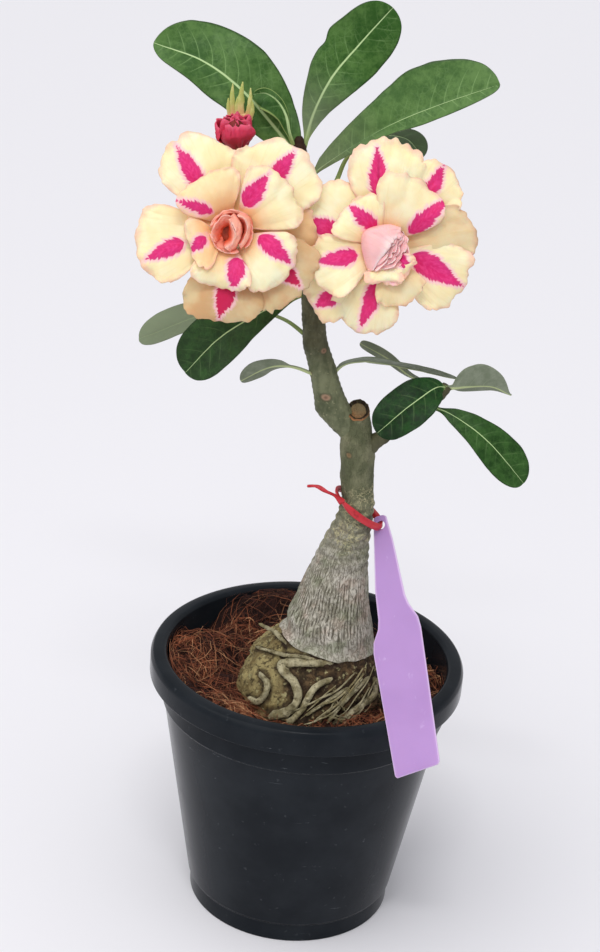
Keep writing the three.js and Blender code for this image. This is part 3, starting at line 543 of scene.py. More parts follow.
def petal_look():
    """Cream petals with peach rims and feathered magenta blotches, tan where painted shade lies."""
    look = Look("petal_cream", Roughness=0.55, Specular_IOR_Level=0.2, Subsurface_Weight=0.15,
                Subsurface_Scale=0.004)
    across, share, seed = look.parts("petal")
    rim = look.attribute("rim")
    shade, warm, line = look.parts("tone")
    cloudy = look.patch(0.35, 0.7, 60, 3)
    colour = look.blend(cloudy, (254, 232, 182), (255, 247, 212))
    fan = look.node("CombineXYZ", {0: across * 7.0, 1: share, 2: seed})
    vein = look.patch(0.5, 0.72, 2.2, 3, 0.6, 0.4, at=fan)
    colour = look.blend(vein * 0.22, colour, (232, 208, 140))
    peach = look.ramp(warm + (look.noise(110, 3) - 0.5) * 0.7, 0, 1)
    colour = look.blend(peach, colour, (250, 200, 146))
    edge = look.ramp(rim + look.noise(150, 3) * 0.26, 1.0, 1.17)
    colour = look.blend(edge * 0.75, colour, (248, 188, 172))
    # Tan colours for painted shade on the petals.
    shaded_tan = look.blend(look.patch(0.35, 0.65, 75, 3), (206, 160, 112), (214, 190, 146))
    colour = look.blend(shade * 0.9, colour, shaded_tan)
    stain = look.attribute("stain")
    feather = look.attribute("feather", "Vector")
    barbs = look.noise(0.85, 2, 0.6, at=feather) - 0.5
    grain = look.noise(0.5, 2, 0.5, at=look.scaled(9, 0.8, 1, at=feather)) - 0.5
    reach = stain + (barbs * 3.4 + grain * 1.2)
    halo = look.ramp(reach, -2.1, -0.2)
    colour = look.blend(halo * 0.8, colour, (255, 196, 210))
    blotch = look.ramp(reach, -0.28, 0.5)
    streaks = look.patch(0.35, 0.7, 0.9, 3, at=look.scaled(6, 0.6, 1, at=feather))
    magenta = look.blend(streaks, (220, 38, 112), (232, 62, 136))
    middle = look.ramp(reach, 0.4, 2.6)
    magenta = look.blend(middle, (216, 52, 122), magenta)
    magenta = look.blend(shade * 0.9, magenta, (196, 30, 76))
    colour = look.layers(colour, (blotch, magenta), (line * blotch, (168, 22, 84)))
    bump = vein * 0.5 + look.noise(420, 3)
    return look.finish(colour, None, bump, 0.22, 0.4 * MM)


def heart_look(name, pale, deep, rim_colour):
    """The heart of a bloom: deep colour at the feet of its folds, darkened to brown there as painted
    shade, and pale at their edges.
    """
    look = Look(name, Roughness=0.55, Specular_IOR_Level=0.25, Subsurface_Weight=0.15,
                Subsurface_Scale=0.003)
    tone, rim, across = look.parts("shell")
    cloudy = look.noise(170, 3) - 0.5
    paleness = tone + cloudy * 0.4
    # A low tone goes to dark brown: painted shade at the feet of the folds and in the core.
    colour = look.blend(look.ramp(paleness, -0.1, 0.2), (104, 38, 22), deep)
    colour = look.blend(look.ramp(paleness, 0.15, 0.8), colour, pale)
    edge = look.ramp(rim + cloudy * 0.3, 0.84, 1.0)
    colour = look.blend(edge * 0.8, colour, rim_colour)
    fan = look.node("CombineXYZ", {0: across * 4.0, 1: rim})
    vein = look.patch(0.5, 0.75, 2.4, 3, at=fan)
    colour = look.blend(vein * 0.16, colour, deep)
    return look.finish(colour, None, look.noise(520, 3), 0.25, 0.3 * MM)


def calyx_look():
    look = Look("calyx_green", Roughness=0.55)
    colour = look.blend(look.patch(0.35, 0.7, 160, 3), (124, 136, 74), (158, 160, 98))
    return look.finish(colour, None, look.noise(600, 3), 0.3, 0.3 * MM)


def tip_look():
    """Yellow-green tips with peach feet."""
    look = Look("tip_green", Roughness=0.5, Subsurface_Weight=0.08, Subsurface_Scale=0.002)
    share = look.attribute("share")
    cloudy = look.patch(0.35, 0.7, 240, 3)
    colour = look.blend(cloudy, (178, 186, 98), (206, 206, 132))
    foot = look.ramp(share, 0.1, 0.55, 1, 0)
    colour = look.blend(foot * 0.85, colour, (222, 176, 124))
    return look.finish(colour, None, look.noise(600, 3), 0.25, 0.3 * MM)


def tag_look():
    look = Look("tag_plastic", Specular_IOR_Level=0.4, Subsurface_Weight=0.05, Subsurface_Scale=0.002)
    cloudy = look.patch(0.3, 0.7, 30, 3)
    colour = look.blend(cloudy, (172, 133, 194), (181, 142, 203))
    scuff = look.patch(0.64, 0.76, 260, 3, 0.6, 0.5, at=look.scaled(1, 1, 0.2))
    colour = look.layers(colour, (scuff * 0.25, (226, 206, 240)),
                         (look.attribute("edge") * 0.6, (232, 208, 242)))
    rough = look.ramp(look.noise(120, 3), 0.3, 0.7, 0.38, 0.52)
    return look.finish(colour, rough, look.noise(700, 2), 0.08, 0.2 * MM)


def tie_look():
    look = Look("tie_red", Specular_IOR_Level=0.5)
    worn = look.patch(0.55, 0.75, 500, 3)
    colour = look.blend(worn, (196, 40, 52), (160, 22, 34))
    rough = look.ramp(look.noise(300, 2), 0.3, 0.7, 0.3, 0.5)
    return look.finish(colour, rough, look.noise(800, 2), 0.2, 0.2 * MM)


# The pot

def inner_radius(height):
    band_foot = POT_HEIGHT - BAND_DROP
    if height >= band_foot:
        return BAND_RADIUS - POT_WALL
    share = max(0, (height - FOOT_HEIGHT) / (band_foot - FOOT_HEIGHT))
    return mix(BODY_FOOT_RADIUS, BODY_TOP_RADIUS, share) - POT_WALL


def make_pot():
    rim_foot = POT_HEIGHT - RIM_DROP
    band_foot = POT_HEIGHT - BAND_DROP
    outside = rounded([
        (0, 0),
        (FOOT_RADIUS, 0),
        (FOOT_RADIUS, FOOT_HEIGHT - 1.4),
        (BODY_FOOT_RADIUS, FOOT_HEIGHT),
        (BODY_TOP_RADIUS, band_foot - 0.8),
        (BAND_RADIUS, band_foot),
        (BAND_RADIUS, POT_HEIGHT - 2.5),
        (RIM_RADIUS - RIM_SKIRT, POT_HEIGHT - 3),
        (RIM_RADIUS - RIM_SKIRT, rim_foot),
        (RIM_RADIUS, rim_foot),
        (RIM_RADIUS, POT_HEIGHT - 3.2),
        (RIM_RADIUS - 1.4, POT_HEIGHT - 0.5),
        (RIM_RADIUS - 4, POT_HEIGHT),
        (MOUTH_RADIUS, POT_HEIGHT),
        (BAND_RADIUS - POT_WALL, POT_HEIGHT - 1.5),
        (inner_radius(band_foot), band_foot),
        (inner_radius(band_foot - 1), band_foot - 1),
        (inner_radius(FOOT_HEIGHT), FOOT_HEIGHT),
        (FOOT_RADIUS - POT_WALL, FOOT_HEIGHT - 1),
        (FOOT_RADIUS - POT_WALL, POT_FLOOR),
        (0, POT_FLOOR),
    ], 0.9)
    place = turned(outside[1:-1], POT_SIDES)
    turn = circle(POT_SIDES)[None]
    height = place[..., 2]
    push = 0.16 * np.sin(2 * turn + 0.6) * smoothstep(height, 10, 120)
    push = push + 0.12 * noise(place, 26, 3) * smoothstep(height, 3, 14)
    outward = place.copy()
    outward[..., 2] = 0
    place = place + unit(outward) * push[..., None]
    form = Form()
    form.grid(place)
    pot = form.piece("pot_shell", pot_look(), "pot_plastic", "pot")
    for i in range(DRAIN_HOLES):
        spot = np.append(polar(DRAIN_CIRCLE, 360 * (i + 0.5) / DRAIN_HOLES), 0)
        drill = Form()
        drill.grid(turned([(DRAIN_RADIUS, -2), (DRAIN_RADIUS, POT_FLOOR + 2)], DRAIN_SIDES) + spot)
        cut_hole(pot, drill)


def cut_hole(piece, drill):
    mesh = bpy.data.meshes.new("drill")
    mesh.from_pydata((np.vstack(drill.points) * MM).tolist(), [], drill.faces)
    cutter = bpy.data.objects.new("drill", mesh)
    bpy.context.scene.collection.objects.link(cutter)
    modifier = piece.modifiers.new("drain", "BOOLEAN")
    modifier.object = cutter
    modifier.operation = "DIFFERENCE"
    modifier.solver = "EXACT"
    bpy.context.view_layer.objects.active = piece
    with bpy.context.temp_override(object=piece, active_object=piece):
        bpy.ops.object.modifier_apply(modifier=modifier.name)
    bpy.data.objects.remove(cutter)


# The woody body

TRUNK_RINGS = np.array([
    [70, 2, -8, 13], [92, 2, -11, 27], [112, 2, -13, 36], [127, 2, -14, 38.5], [137, 3, -14, 36.5],
    [145, 5, -13, 33], [151, 8, -11, 28.5], [156, 9.5, -10, 25], [159, 10, -10, 22.4],
    [167, 9.6, -10, 21.4], [177, 9.9, -9, 18.6], [187, 10.6, -9, 16.4], [198, 11.8, -8, 13.8],
    [210, 14, -8, 11.4], [221, 16.4, -8, 9.4], [232, 17.6, -8, 8.1], [246, 16.2, -8, 8.1],
    [258, 15.4, -8, 8.4], [267, 14.2, -8, 7.9], [275, 14.2, -8, 6.6], [282, 13.8, -8, 5.6],
], float)
# Each piece of the trunk: its first and last share of the rings, its rows and its sides
TRUNK_PIECES = {"trunk_top": (0.66, 1, 160, 150), "trunk_cone": (0.375, 0.665, 150, 420),
                "root_mass": (0, 0.385, 150, 260)}
SCAR_LEVEL = 158
SCAR_SLOPE = 0.15
ROOT_LUMP = 1.5
ROOTLETS = 26
BUNDLED_ROOTLETS = 8
ROOTLET_SEED = 5

ROOTS = [
    ([(14, -33, 154), (0, -36, 155), (-13, -34, 152), (-4, -45, 145), (-5, -49, 138), (-17, -50, 130)],
     [2, 2.5, 2.7, 2.4, 2.7, 4]),
    ([(4, -34, 156), (-13, -30, 156), (-27, -15, 150)], [1.5, 1.2, 0.8]),
    ([(13, -39, 150), (4, -45, 146), (-1, -50, 137), (-8, -53, 129)], [1.9, 2, 2, 1.9]),
    ([(-23, -34, 147), (-19, -42, 142), (-23, -43, 135), (-28, -38, 134)], [1.5, 2, 1.9, 1.4]),
    ([(34, -26, 145), (34, -32, 139), (26, -42, 135), (13, -50, 128)], [2.1, 2.3, 2.2, 1.8]),
    ([(31, -30, 147), (20, -44, 141), (12, -51, 131)], [1.5, 1.5, 1.3]),
    ([(28, -33, 148), (11, -47, 141), (1, -51, 134)], [1.1, 1.1, 0.9]),
    ([(-26, -14, 163), (-19, -16, 161), (-14, -19, 159), (-9, -25, 157)], [1.1, 1.3, 1.3, 1]),
    ([(36, -20, 143), (40, -23, 135), (43, -25, 126)], [2.4, 2.6, 2]),
    ([(10, 12, 146), (13, 22, 137), (16, 29, 126)], [2.4, 2.6, 2.2]),
]

BLOOM_LEFT = ((-51, -42, 374.6), (0.043, -0.952, 0.303))
BLOOM_RIGHT = ((18, -33.5, 369.6), (0.01, -0.965, 0.262))
BLOOM_ROLL = 4.7


def behind(bloom, depth):
    centre, facing = bloom
    return tuple(np.array(centre) - unit(facing) * depth)


def near_roots(points, reach):
    """1 beside a root and 0 from that many millimetres away, for painted shade in the crevices of the root
    mass.
    """
    closest = np.full(points.shape[:-1], 1e9)
    for knots, radii in ROOTS:
        shares = np.linspace(0, 1, 26)
        for middle, radius in zip(curve(knots, shares), curve(radii, shares)[:, 0]):
            closest = np.minimum(closest, np.linalg.norm(points - middle, axis=-1) - radius)
    return smoothstep(-closest, -reach, -0.2)


def trunk_surface(first, last, rows, sides):
    """Rows of points of the trunk between two shares of its rings, with its zone and skin values."""
    rings = curve(TRUNK_RINGS, np.linspace(first, last, rows))
    level, x, y, radius = (rings[:, k][:, None] for k in range(4))
    turn = circle(sides)[None]
    rooty = np.clip((SCAR_LEVEL - level) / 20, 0, 1)
    tilt = np.clip(1 - np.abs(level - SCAR_LEVEL) / 40, 0, 1)
    lump = np.sin(3 * turn + level / 9) + 0.7 * np.sin(5 * turn - level / 6)
    flat = stack(np.cos(turn) * radius + x, np.sin(turn) * radius + y, level)
    edge = SCAR_LEVEL - 0.6 + 1.1 * noise(flat, 7, 13)
    mass = smoothstep(-level, -edge, -edge + 0.9)
    cone = (1 - mass) * (1 - smoothstep(level, 216, 240))
    upper = smoothstep(level + 9 * noise(flat, 6, 8), 192, 242)
    fleck = smoothstep(level, 204, 216) * (1 - smoothstep(level + 4 * noise(flat, 5, 16), 236, 248))
    tall = flat * np.array([1, 1, 0.4])
    weave = 66 * turn + 2.8 * noise(tall, 5, 11) + 2.2 * noise(tall, 2.1, 12)
    broken = smoothstep(noise(flat * np.array([1, 1, 0.7]), 1.6, 14), -0.45, 0.1)
    lower = smoothstep(level, SCAR_LEVEL + 2.5, SCAR_LEVEL + 7) * (1 - smoothstep(level, 178, 214))
    slit = smoothstep(np.sin(weave), 0.15, 0.9) * broken * (0.3 + 0.7 * lower) * cone
    slit = slit * smoothstep(level, SCAR_LEVEL + 1, SCAR_LEVEL + 4)
    rough = (1.1 * noise(flat, 8, 1) + 0.9 * noise(flat, 3.2, 2) + 0.55 * noise(flat, 1.4, 3)) * mass
    rough = rough - 0.3 * slit + 0.45 * noise(flat, 7, 4) * (1 - mass) + 0.1 * noise(flat, 1.1, 15)
    ridges = np.sin(level * 1.25 + 2.2 * noise(flat, 9, 6))
    neck = smoothstep(level, 190, 204) * (1 - smoothstep(level, 226, 244))
    rough = rough + 0.36 * ridges * neck
    rough = rough + 0.14 * noise(flat, 1.7, 5) * upper
    ledge = 0.6 * (1 - mass) * np.exp(-np.maximum(0, level - SCAR_LEVEL) / 3.5) - 0.7 * mass
    reach = radius + ROOT_LUMP * rooty * lump + rough + ledge
    place = stack(x + reach * np.cos(turn), y + reach * np.sin(turn), level)
    place[..., 2] -= SCAR_SLOPE * tilt * (place[..., 0] - x)
    cut = smoothstep(level, 262, 281.5)
    place[..., 2] += cut * (0.55 * (place[..., 1] - y) - 2.1)
    # Painted shade: beside the roots, in the seam under the cone's ledge, and in hollows sunk a little into
    # the mass.
    crevice_shade = near_roots(place, 2.2) * mass
    seam_shade = mass * np.exp(-np.maximum(0, edge - level) / 1.2)
    hollow = smoothstep(noise(flat, 4.5, 17), 0.45, 0.7) * mass
    zone = stack(mass, upper, np.clip(0.75 * crevice_shade + 0.3 * seam_shade + 0.6 * hollow, 0, 0.95))
    skin = stack(slit, 0, fleck)
    dark, tan = scar_marks(place)
    # The troughs between the neck's ridges are darkened as painted shade.
    dark = np.maximum(dark, 0.28 * neck * smoothstep(-ridges, 0.55, 1))
    zone[..., 2] = np.maximum(zone[..., 2], dark)
    soil = smoothstep(place[..., 0] - 0.6 * place[..., 1] + 8 * noise(flat, 9, 18), 6, 24) * mass
    place = place - 0.5 * (hollow * mass)[..., None] * unit(place - np.array([2.0, -12, 120]))
    return place, dict(zone=zone, skin=skin, soil=soil, wood=0.35 * tan)


def make_trunk():
    bark = bark_look()
    for name, part in TRUNK_PIECES.items():
        form = Form()
        place, values = trunk_surface(*part)
        form.grid(place, ends=False, **values)
        if name == "trunk_top":
            add_stump_face(form, place[-1])
        if name == "root_mass":
            for knots, radii in ROOTS:
                add_root(form, knots, radii)
            add_fine_roots(form)
        form.piece(name, bark, "bark", "caudex_and_stems")


def add_stump_face(form, rim):
    """The cut top of the stump: a hollow reddish face in a dark ring, with a tan lip below."""
    middle = rim.mean(axis=0)
    turn = circle(len(rim))
    rows, dark, wood = [], [], []
    for share, rise, shade, tan in ((1.0, 0.0, 0.0, 0.2), (1.03, 0.4, 0.1, 0.7), (0.98, 0.9, 0.7, 0.3),
                                    (0.88, 1.0, 1.0, 0.0), (0.74, 0.3, 0.95, 0.0), (0.6, -0.5, 0.45, 0.8),
                                    (0.44, -0.8, 0.75, 0.5), (0.28, -1.0, 0.7, 0.5), (0.1, -1.1, 1.0, 0.0)):
        rows.append(middle + (rim - middle) * share + np.array([0, -0.45 * rise, 0.9 * rise]))
        front = 0.5 - 0.5 * np.sin(turn + 0.3)
        dark.append(shade * (1 - 0.5 * front**2 * (share > 0.9)))
        wood.append(np.clip(tan + 0.6 * front**2 * (share > 0.9), 0, 1))
    rows = np.array(rows)
    rows = rows + 0.2 * noise(rows, 1.1, 9)[..., None]
    streak = noise(stack(3.2 * np.cos(turn), 3.2 * np.sin(turn), 0), 0.5, 10)
    dark = np.clip(np.array(dark) + 0.25 * streak, 0, 1)
    form.grid(rows, zone=stack(0, 1, dark), wood=np.array(wood))


def add_root(form, knots, radii):
    """A winding root on the mass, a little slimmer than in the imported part, with gnarled skin."""
    steps = 22 * (len(knots) - 1)

    def gnarled(share, turn, reach, place):
        swell = 1 + 0.2 * noise(place, 4, 21) + 0.13 * noise(place, 1.5, 22) + 0.05 * noise(place, 0.7, 25)
        taper = 1 - 0.55 * smoothstep(np.abs(share - 0.5), 0.44, 0.5)
        return 0.8 * reach * swell * taper

    place = tube(knots, radii, 20, steps, gnarled)
    place = place + 0.6 * noise(place, 5, 23)[..., None] * np.array([1, 1, 0.5])
    bare = 0.85 + 0.25 * noise(place, 3.5, 24)
    # Roots darken near the coir as painted shade.
    low = smoothstep(-place[..., 2], -134, -126)
    form.grid(place, zone=stack(1, 0, 0.5 * low), skin=stack(0, np.clip(bare, 0, 1), 0))


def add_fine_roots(form):
    """Rootlets: a bundle that runs down to the left at the front, and a few that wander."""
    random = np.random.default_rng(ROOTLET_SEED)
    for k in range(ROOTLETS):
        bundled = k < BUNDLED_ROOTLETS
        turn = random.uniform(-1.25, -0.35) if bundled else random.uniform(-2.9, 0.4)
        level = random.uniform(142, 153) if bundled else random.uniform(132, 150)
        drift = random.uniform(-0.42, -0.25) if bundled else random.uniform(-0.4, 0.4)
        fall = random.uniform(4.4, 6) if bundled else random.uniform(1, 3.2)
        knots = []
        for i in range(5):
            z = level - fall * i * random.uniform(0.85, 1.05)
            ring = [np.interp(z, TRUNK_RINGS[:, 0], TRUNK_RINGS[:, c]) for c in (1, 2, 3)]
            angle = turn + drift * i * 0.6 + random.uniform(-0.02, 0.02)
            reach = ring[2] + random.uniform(0, 1.3)
            knots.append((ring[0] + reach * math.cos(angle), ring[1] + reach * math.sin(angle), z))
        thick = random.uniform(0.3, 0.65) if bundled else random.uniform(0.2, 0.45)
        place = tube(knots, [thick * 0.8, thick, thick, thick * 0.8, 0.25], 8, 24)
        place = place + 0.25 * noise(place, 2.2, 26)[..., None]
        pale = np.full(place.shape[:-1], random.uniform(0.3, 1))
        form.grid(place, zone=stack(1 + 0 * pale, 0, 0), skin=stack(0, pale, 0))


SCION = [(11.5, -7, 268.5), (4.6, -7.6, 276.5), (-1, -8, 287), (-5.2, -7, 300), (-9.5, -6, 313),
         (-12.4, -6, 330), (-16.4, -4, 357), (-19.6, -3, 380), (-22.5, -1, 395), (-24, 0, 404),
         (-24.6, 0, 409)]
SCION_RADII = [5.6, 6.9, 6.9, 6.1, 5.6, 5, 4.7, 4.2, 3.8, 3.2, 1.6]
TWIG = [(17, -8, 257), (23, -8.5, 264.6), (34.4, -12, 274.8), (47.5, -15, 287), (54.4, -15, 299)]
TWIG_RADII = [5, 4, 2.8, 2.3, 1.8]
STALKS = [
    ([(-19, -3, 379), (-13.1, 1, 384), (-6.8, 3, 386.4), (2, 3, 382), (12, 3, 368),
      behind(BLOOM_RIGHT, CALYX_DEPTH + 5), behind(BLOOM_RIGHT, CALYX_DEPTH)],
     [2.2, 1.3, 1.5, 1.2, 1.3, 1.8, 2]),
    ([(-18, -3, 374), (-27, 4, 372), (-40, 8, 366), behind(BLOOM_LEFT, CALYX_DEPTH + 5),
      behind(BLOOM_LEFT, CALYX_DEPTH)], [2.2, 1.5, 1.5, 1.8, 2]),
    ([(-36, 7, 368.5), (-45, 3, 378), (-50, -5, 389), (-51, -10.5, 398)], [1.5, 1.3, 1.2, 1.5]),
]
# Leaf scars on the stems: middle, and how wide and high they are
SCARS = [
    ((-5, -11.3, 310.1), 1.5, 1.3),
    ((-2.2, -14, 287.9), 2.4, 1.7),
    ((10.9, -16, 259.1), 1.6, 1.5),
    ((-10.2, -9.5, 297.7), 0.9, 0.9),
    ((16.2, -26, 191.8), 2.0, 1.6),
]


def scar_marks(place):
    """How dark and how tan each point is, from the leaf scars near it."""
    dark = np.zeros(place.shape[:-1])
    tan = np.zeros(place.shape[:-1])
    for middle, wide, high in SCARS:
        off = (place - np.array(middle)) / np.array([wide, wide * 1.6, high])
        distance = np.linalg.norm(off, axis=-1)
        dark = np.maximum(dark, 0.8 * np.exp(-((distance - 0.1) / 0.35) ** 2))
        dark = np.maximum(dark, 0.4 * np.exp(-((distance - 1.15) / 0.2) ** 2))
        tan = np.maximum(tan, smoothstep(-distance, -1.2, -0.6))
    return dark, tan


def make_stems():
    form = Form()

    def woody(share, turn, reach, place):
        knobs = np.zeros(reach.shape)
        for knot, height in (((-11.5, -10, 312), 1.3), ((-4, -8, 279), 1.6), ((-17.5, -3, 350), 0.9),
                             ((-6, -3, 297), 1.2), ((-7, -11, 322), 0.8),
                             ((54, -14.6, 297.4), 1.1)):
            knobs += height * np.exp(-np.sum((place - np.array(knot)) ** 2, axis=-1) / 22)
        rings = 0.09 * np.sin(place[..., 2] * 2.3) + 0.12 * noise(place, 1.4, 31)
        return reach + 0.35 * noise(place, 6, 32) + knobs + rings

    for knots, radii, sides, steps, lively in ((SCION, SCION_RADII, 80, 280, 0.0),
                                                (TWIG, TWIG_RADII, 36, 90, 0.1)):
        place = tube(knots, radii, sides, steps, woody)
        dark, tan = scar_marks(place)
        # The scion's upper part and top take the scar colour as painted shade; the twig takes half of it all
        # over.
        tip = 0.5
        if lively == 0:
            tip = smoothstep(place[..., 2], 398, 408) + 0.4 * smoothstep(place[..., 2], 300, 316)
        form.grid(place, zone=stack(lively, np.clip(np.maximum(dark, tip), 0, 1), tan))
    for knots, radii in STALKS:
        place = tube(knots, radii, 20, 80, lambda s, t, reach, p: reach + 0.14 * noise(p, 2.5, 33))
        form.grid(place, zone=stack(0.55 + 0.3 * noise(place, 6, 34), 0, 0))
    form.piece("scion_and_stalks", stem_look(), "bark", "caudex_and_stems")


# The coir

def coir_height(x, y):
    radius = np.hypot(x, y)
    angle = np.arctan2(y, x)
    left = 6 * smoothstep(-x, 20, 60)
    back = 10 * np.exp(-((x + 18) ** 2) / 1400 - ((y - 64) ** 2) / 500)
    back_right = -13 * np.exp(-((x - 42) ** 2 + (y - 38) ** 2) / 900)
    gap = -11 * np.exp(-((x + 55) ** 2 + (y - 40) ** 2) / 190)
    lump = np.sin(radius / 4.3 + 3 * angle) + np.cos(5 * angle - radius / 7)
    return COIR_LEVEL + left + back + back_right + gap + COIR_LUMP * lump


def coir_top(x, y):
    flat = stack(x, y, 0)
    rough = 1.5 * noise(flat, 9, 41) + 1.1 * noise(flat, 4, 42) + 0.6 * noise(flat, 1.8, 43)
    return coir_height(x, y) + rough


def make_coir():
    form = Form()
    turn = circle(COIR_SIDES)[None]
    reach = np.linspace(COIR_WALL, 3, COIR_RINGS)[:, None]
    x, y = reach * np.cos(turn), reach * np.sin(turn)
    top = stack(x, y, np.minimum(coir_top(x, y), POT_HEIGHT - 1.5))
    foot = FOOT_RADIUS - POT_WALL - 0.5
    side = [(foot, POT_FLOOR + 0.4), (foot, FOOT_HEIGHT), (COIR_WALL - 1, POT_HEIGHT - BAND_DROP - 1)]
    place = np.concatenate([turned(side, COIR_SIDES), top])
    # The coir body under the fibres is painted near black: painted shade between the fibres.
    form.grid(place, shade=0.06 + 0.1 * noise(place, 3, 44))
    add_fibres(form)
    form.piece("coir_fibres", coir_look(), "coir_fibre", "coir")


def add_fibres(form):
    """Loose fibres as thin bent ribbons, thick at the left and back, with a few long pale ones."""
    random = np.random.default_rng(FIBRE_SEED)
    count, steps = FIBRES, FIBRE_STEPS
    angle = random.uniform(0, 2 * np.pi, count)
    radius = 70 * np.sqrt(random.uniform(0.12, 1, count))
    x, y = radius * np.cos(angle), radius * np.sin(angle)
    long_ones = random.uniform(0, 1, count) > 0.965
    length = np.where(long_ones, random.uniform(22, 42, count), random.uniform(4, 16, count))
    heading = random.uniform(0, 2 * np.pi, count)
    around = angle + np.pi / 2 + random.normal(0, 0.55, count)
    heading = np.where(random.uniform(0, 1, count) < 0.55, around, heading)
    bend = random.normal(0, 0.05, count) + np.where(long_ones, random.normal(0, 0.03, count), 0)
    lift = random.uniform(-0.6, 2.4, count) + np.where(long_ones, random.uniform(1.5, 5, count), 0)
    wide = np.where(long_ones, random.uniform(0.08, 0.14, count),
                    0.08 + 0.24 * random.uniform(0, 1, count) ** 2)
    roll = random.uniform(-0.9, 0.9, count)
    spots = stack(x, y, 0)
    clump = noise(spots, 13, 45) + 0.6 * noise(spots, 5, 46)
    dim = np.exp(-((x + 22) ** 2) / 500 - ((y - 45) ** 2) / 700)
    shade = np.clip(random.normal(0.4, 0.26, count) + 0.42 * clump - 0.3 * dim, 0.02, 0.97)
    # Gaps between clumps: fibres there sink and take painted shade.
    shaded_gap = np.exp(-((noise(spots, 9, 47) / 0.12) ** 2))
    shade = np.clip(shade - 0.34 * shaded_gap, 0.02, 1)
    lift = lift + 1.6 * clump - 1.2 * shaded_gap
    shade = np.where(long_ones, random.uniform(0.5, 1, count), shade)
    tilt = random.normal(0, 0.12, count)
    t = np.linspace(-0.5, 0.5, steps + 1)[None]
    course = heading[:, None] + bend[:, None] * length[:, None] * t
    step = (length / steps)[:, None]
    half = 0.5 * length[:, None]
    px = x[:, None] + np.cumsum(np.cos(course) * step, axis=1) - half * np.cos(heading)[:, None]
    py = y[:, None] + np.cumsum(np.sin(course) * step, axis=1) - half * np.sin(heading)[:, None]
    out = np.hypot(px, py)
    inward = np.minimum(1, 70.6 / np.maximum(out, 1e-6))
    px, py = px * inward, py * inward
    arch = 1 - (2 * t) ** 2
    pz = coir_height(px, py) + lift[:, None] * (0.35 + 0.65 * arch) + tilt[:, None] * length[:, None] * t
    ripple = stack(px, py, 0)
    pz = pz + 1.2 * noise(ripple, 9, 41) + 0.9 * noise(ripple, 4, 42)
    pz = np.minimum(pz, POT_HEIGHT - 0.7)
    spine = stack(px, py, pz)
    ahead = unit(np.gradient(spine, axis=1))
    flat = unit(np.cross(ahead, np.array([0, 0, 1.0])))
    up = np.cross(flat, ahead)
    across = flat * np.cos(roll)[:, None, None] + up * np.sin(roll)[:, None, None]
    taper = (wide[:, None] * (0.25 + 0.75 * np.sqrt(np.clip(arch, 0, 1))))[..., None]
    left, right = spine - across * taper, spine + across * taper
    points = np.stack([left, right], axis=2).reshape(-1, 3)
    columns = 2 * (steps + 1)
    start = (np.arange(count) * columns)[:, None] + np.arange(steps)[None] * 2
    faces = stack(start, start + 1, start + 3, start + 2).reshape(-1, 4)
    form.add(points, faces.tolist(), shade=np.repeat(shade, columns))
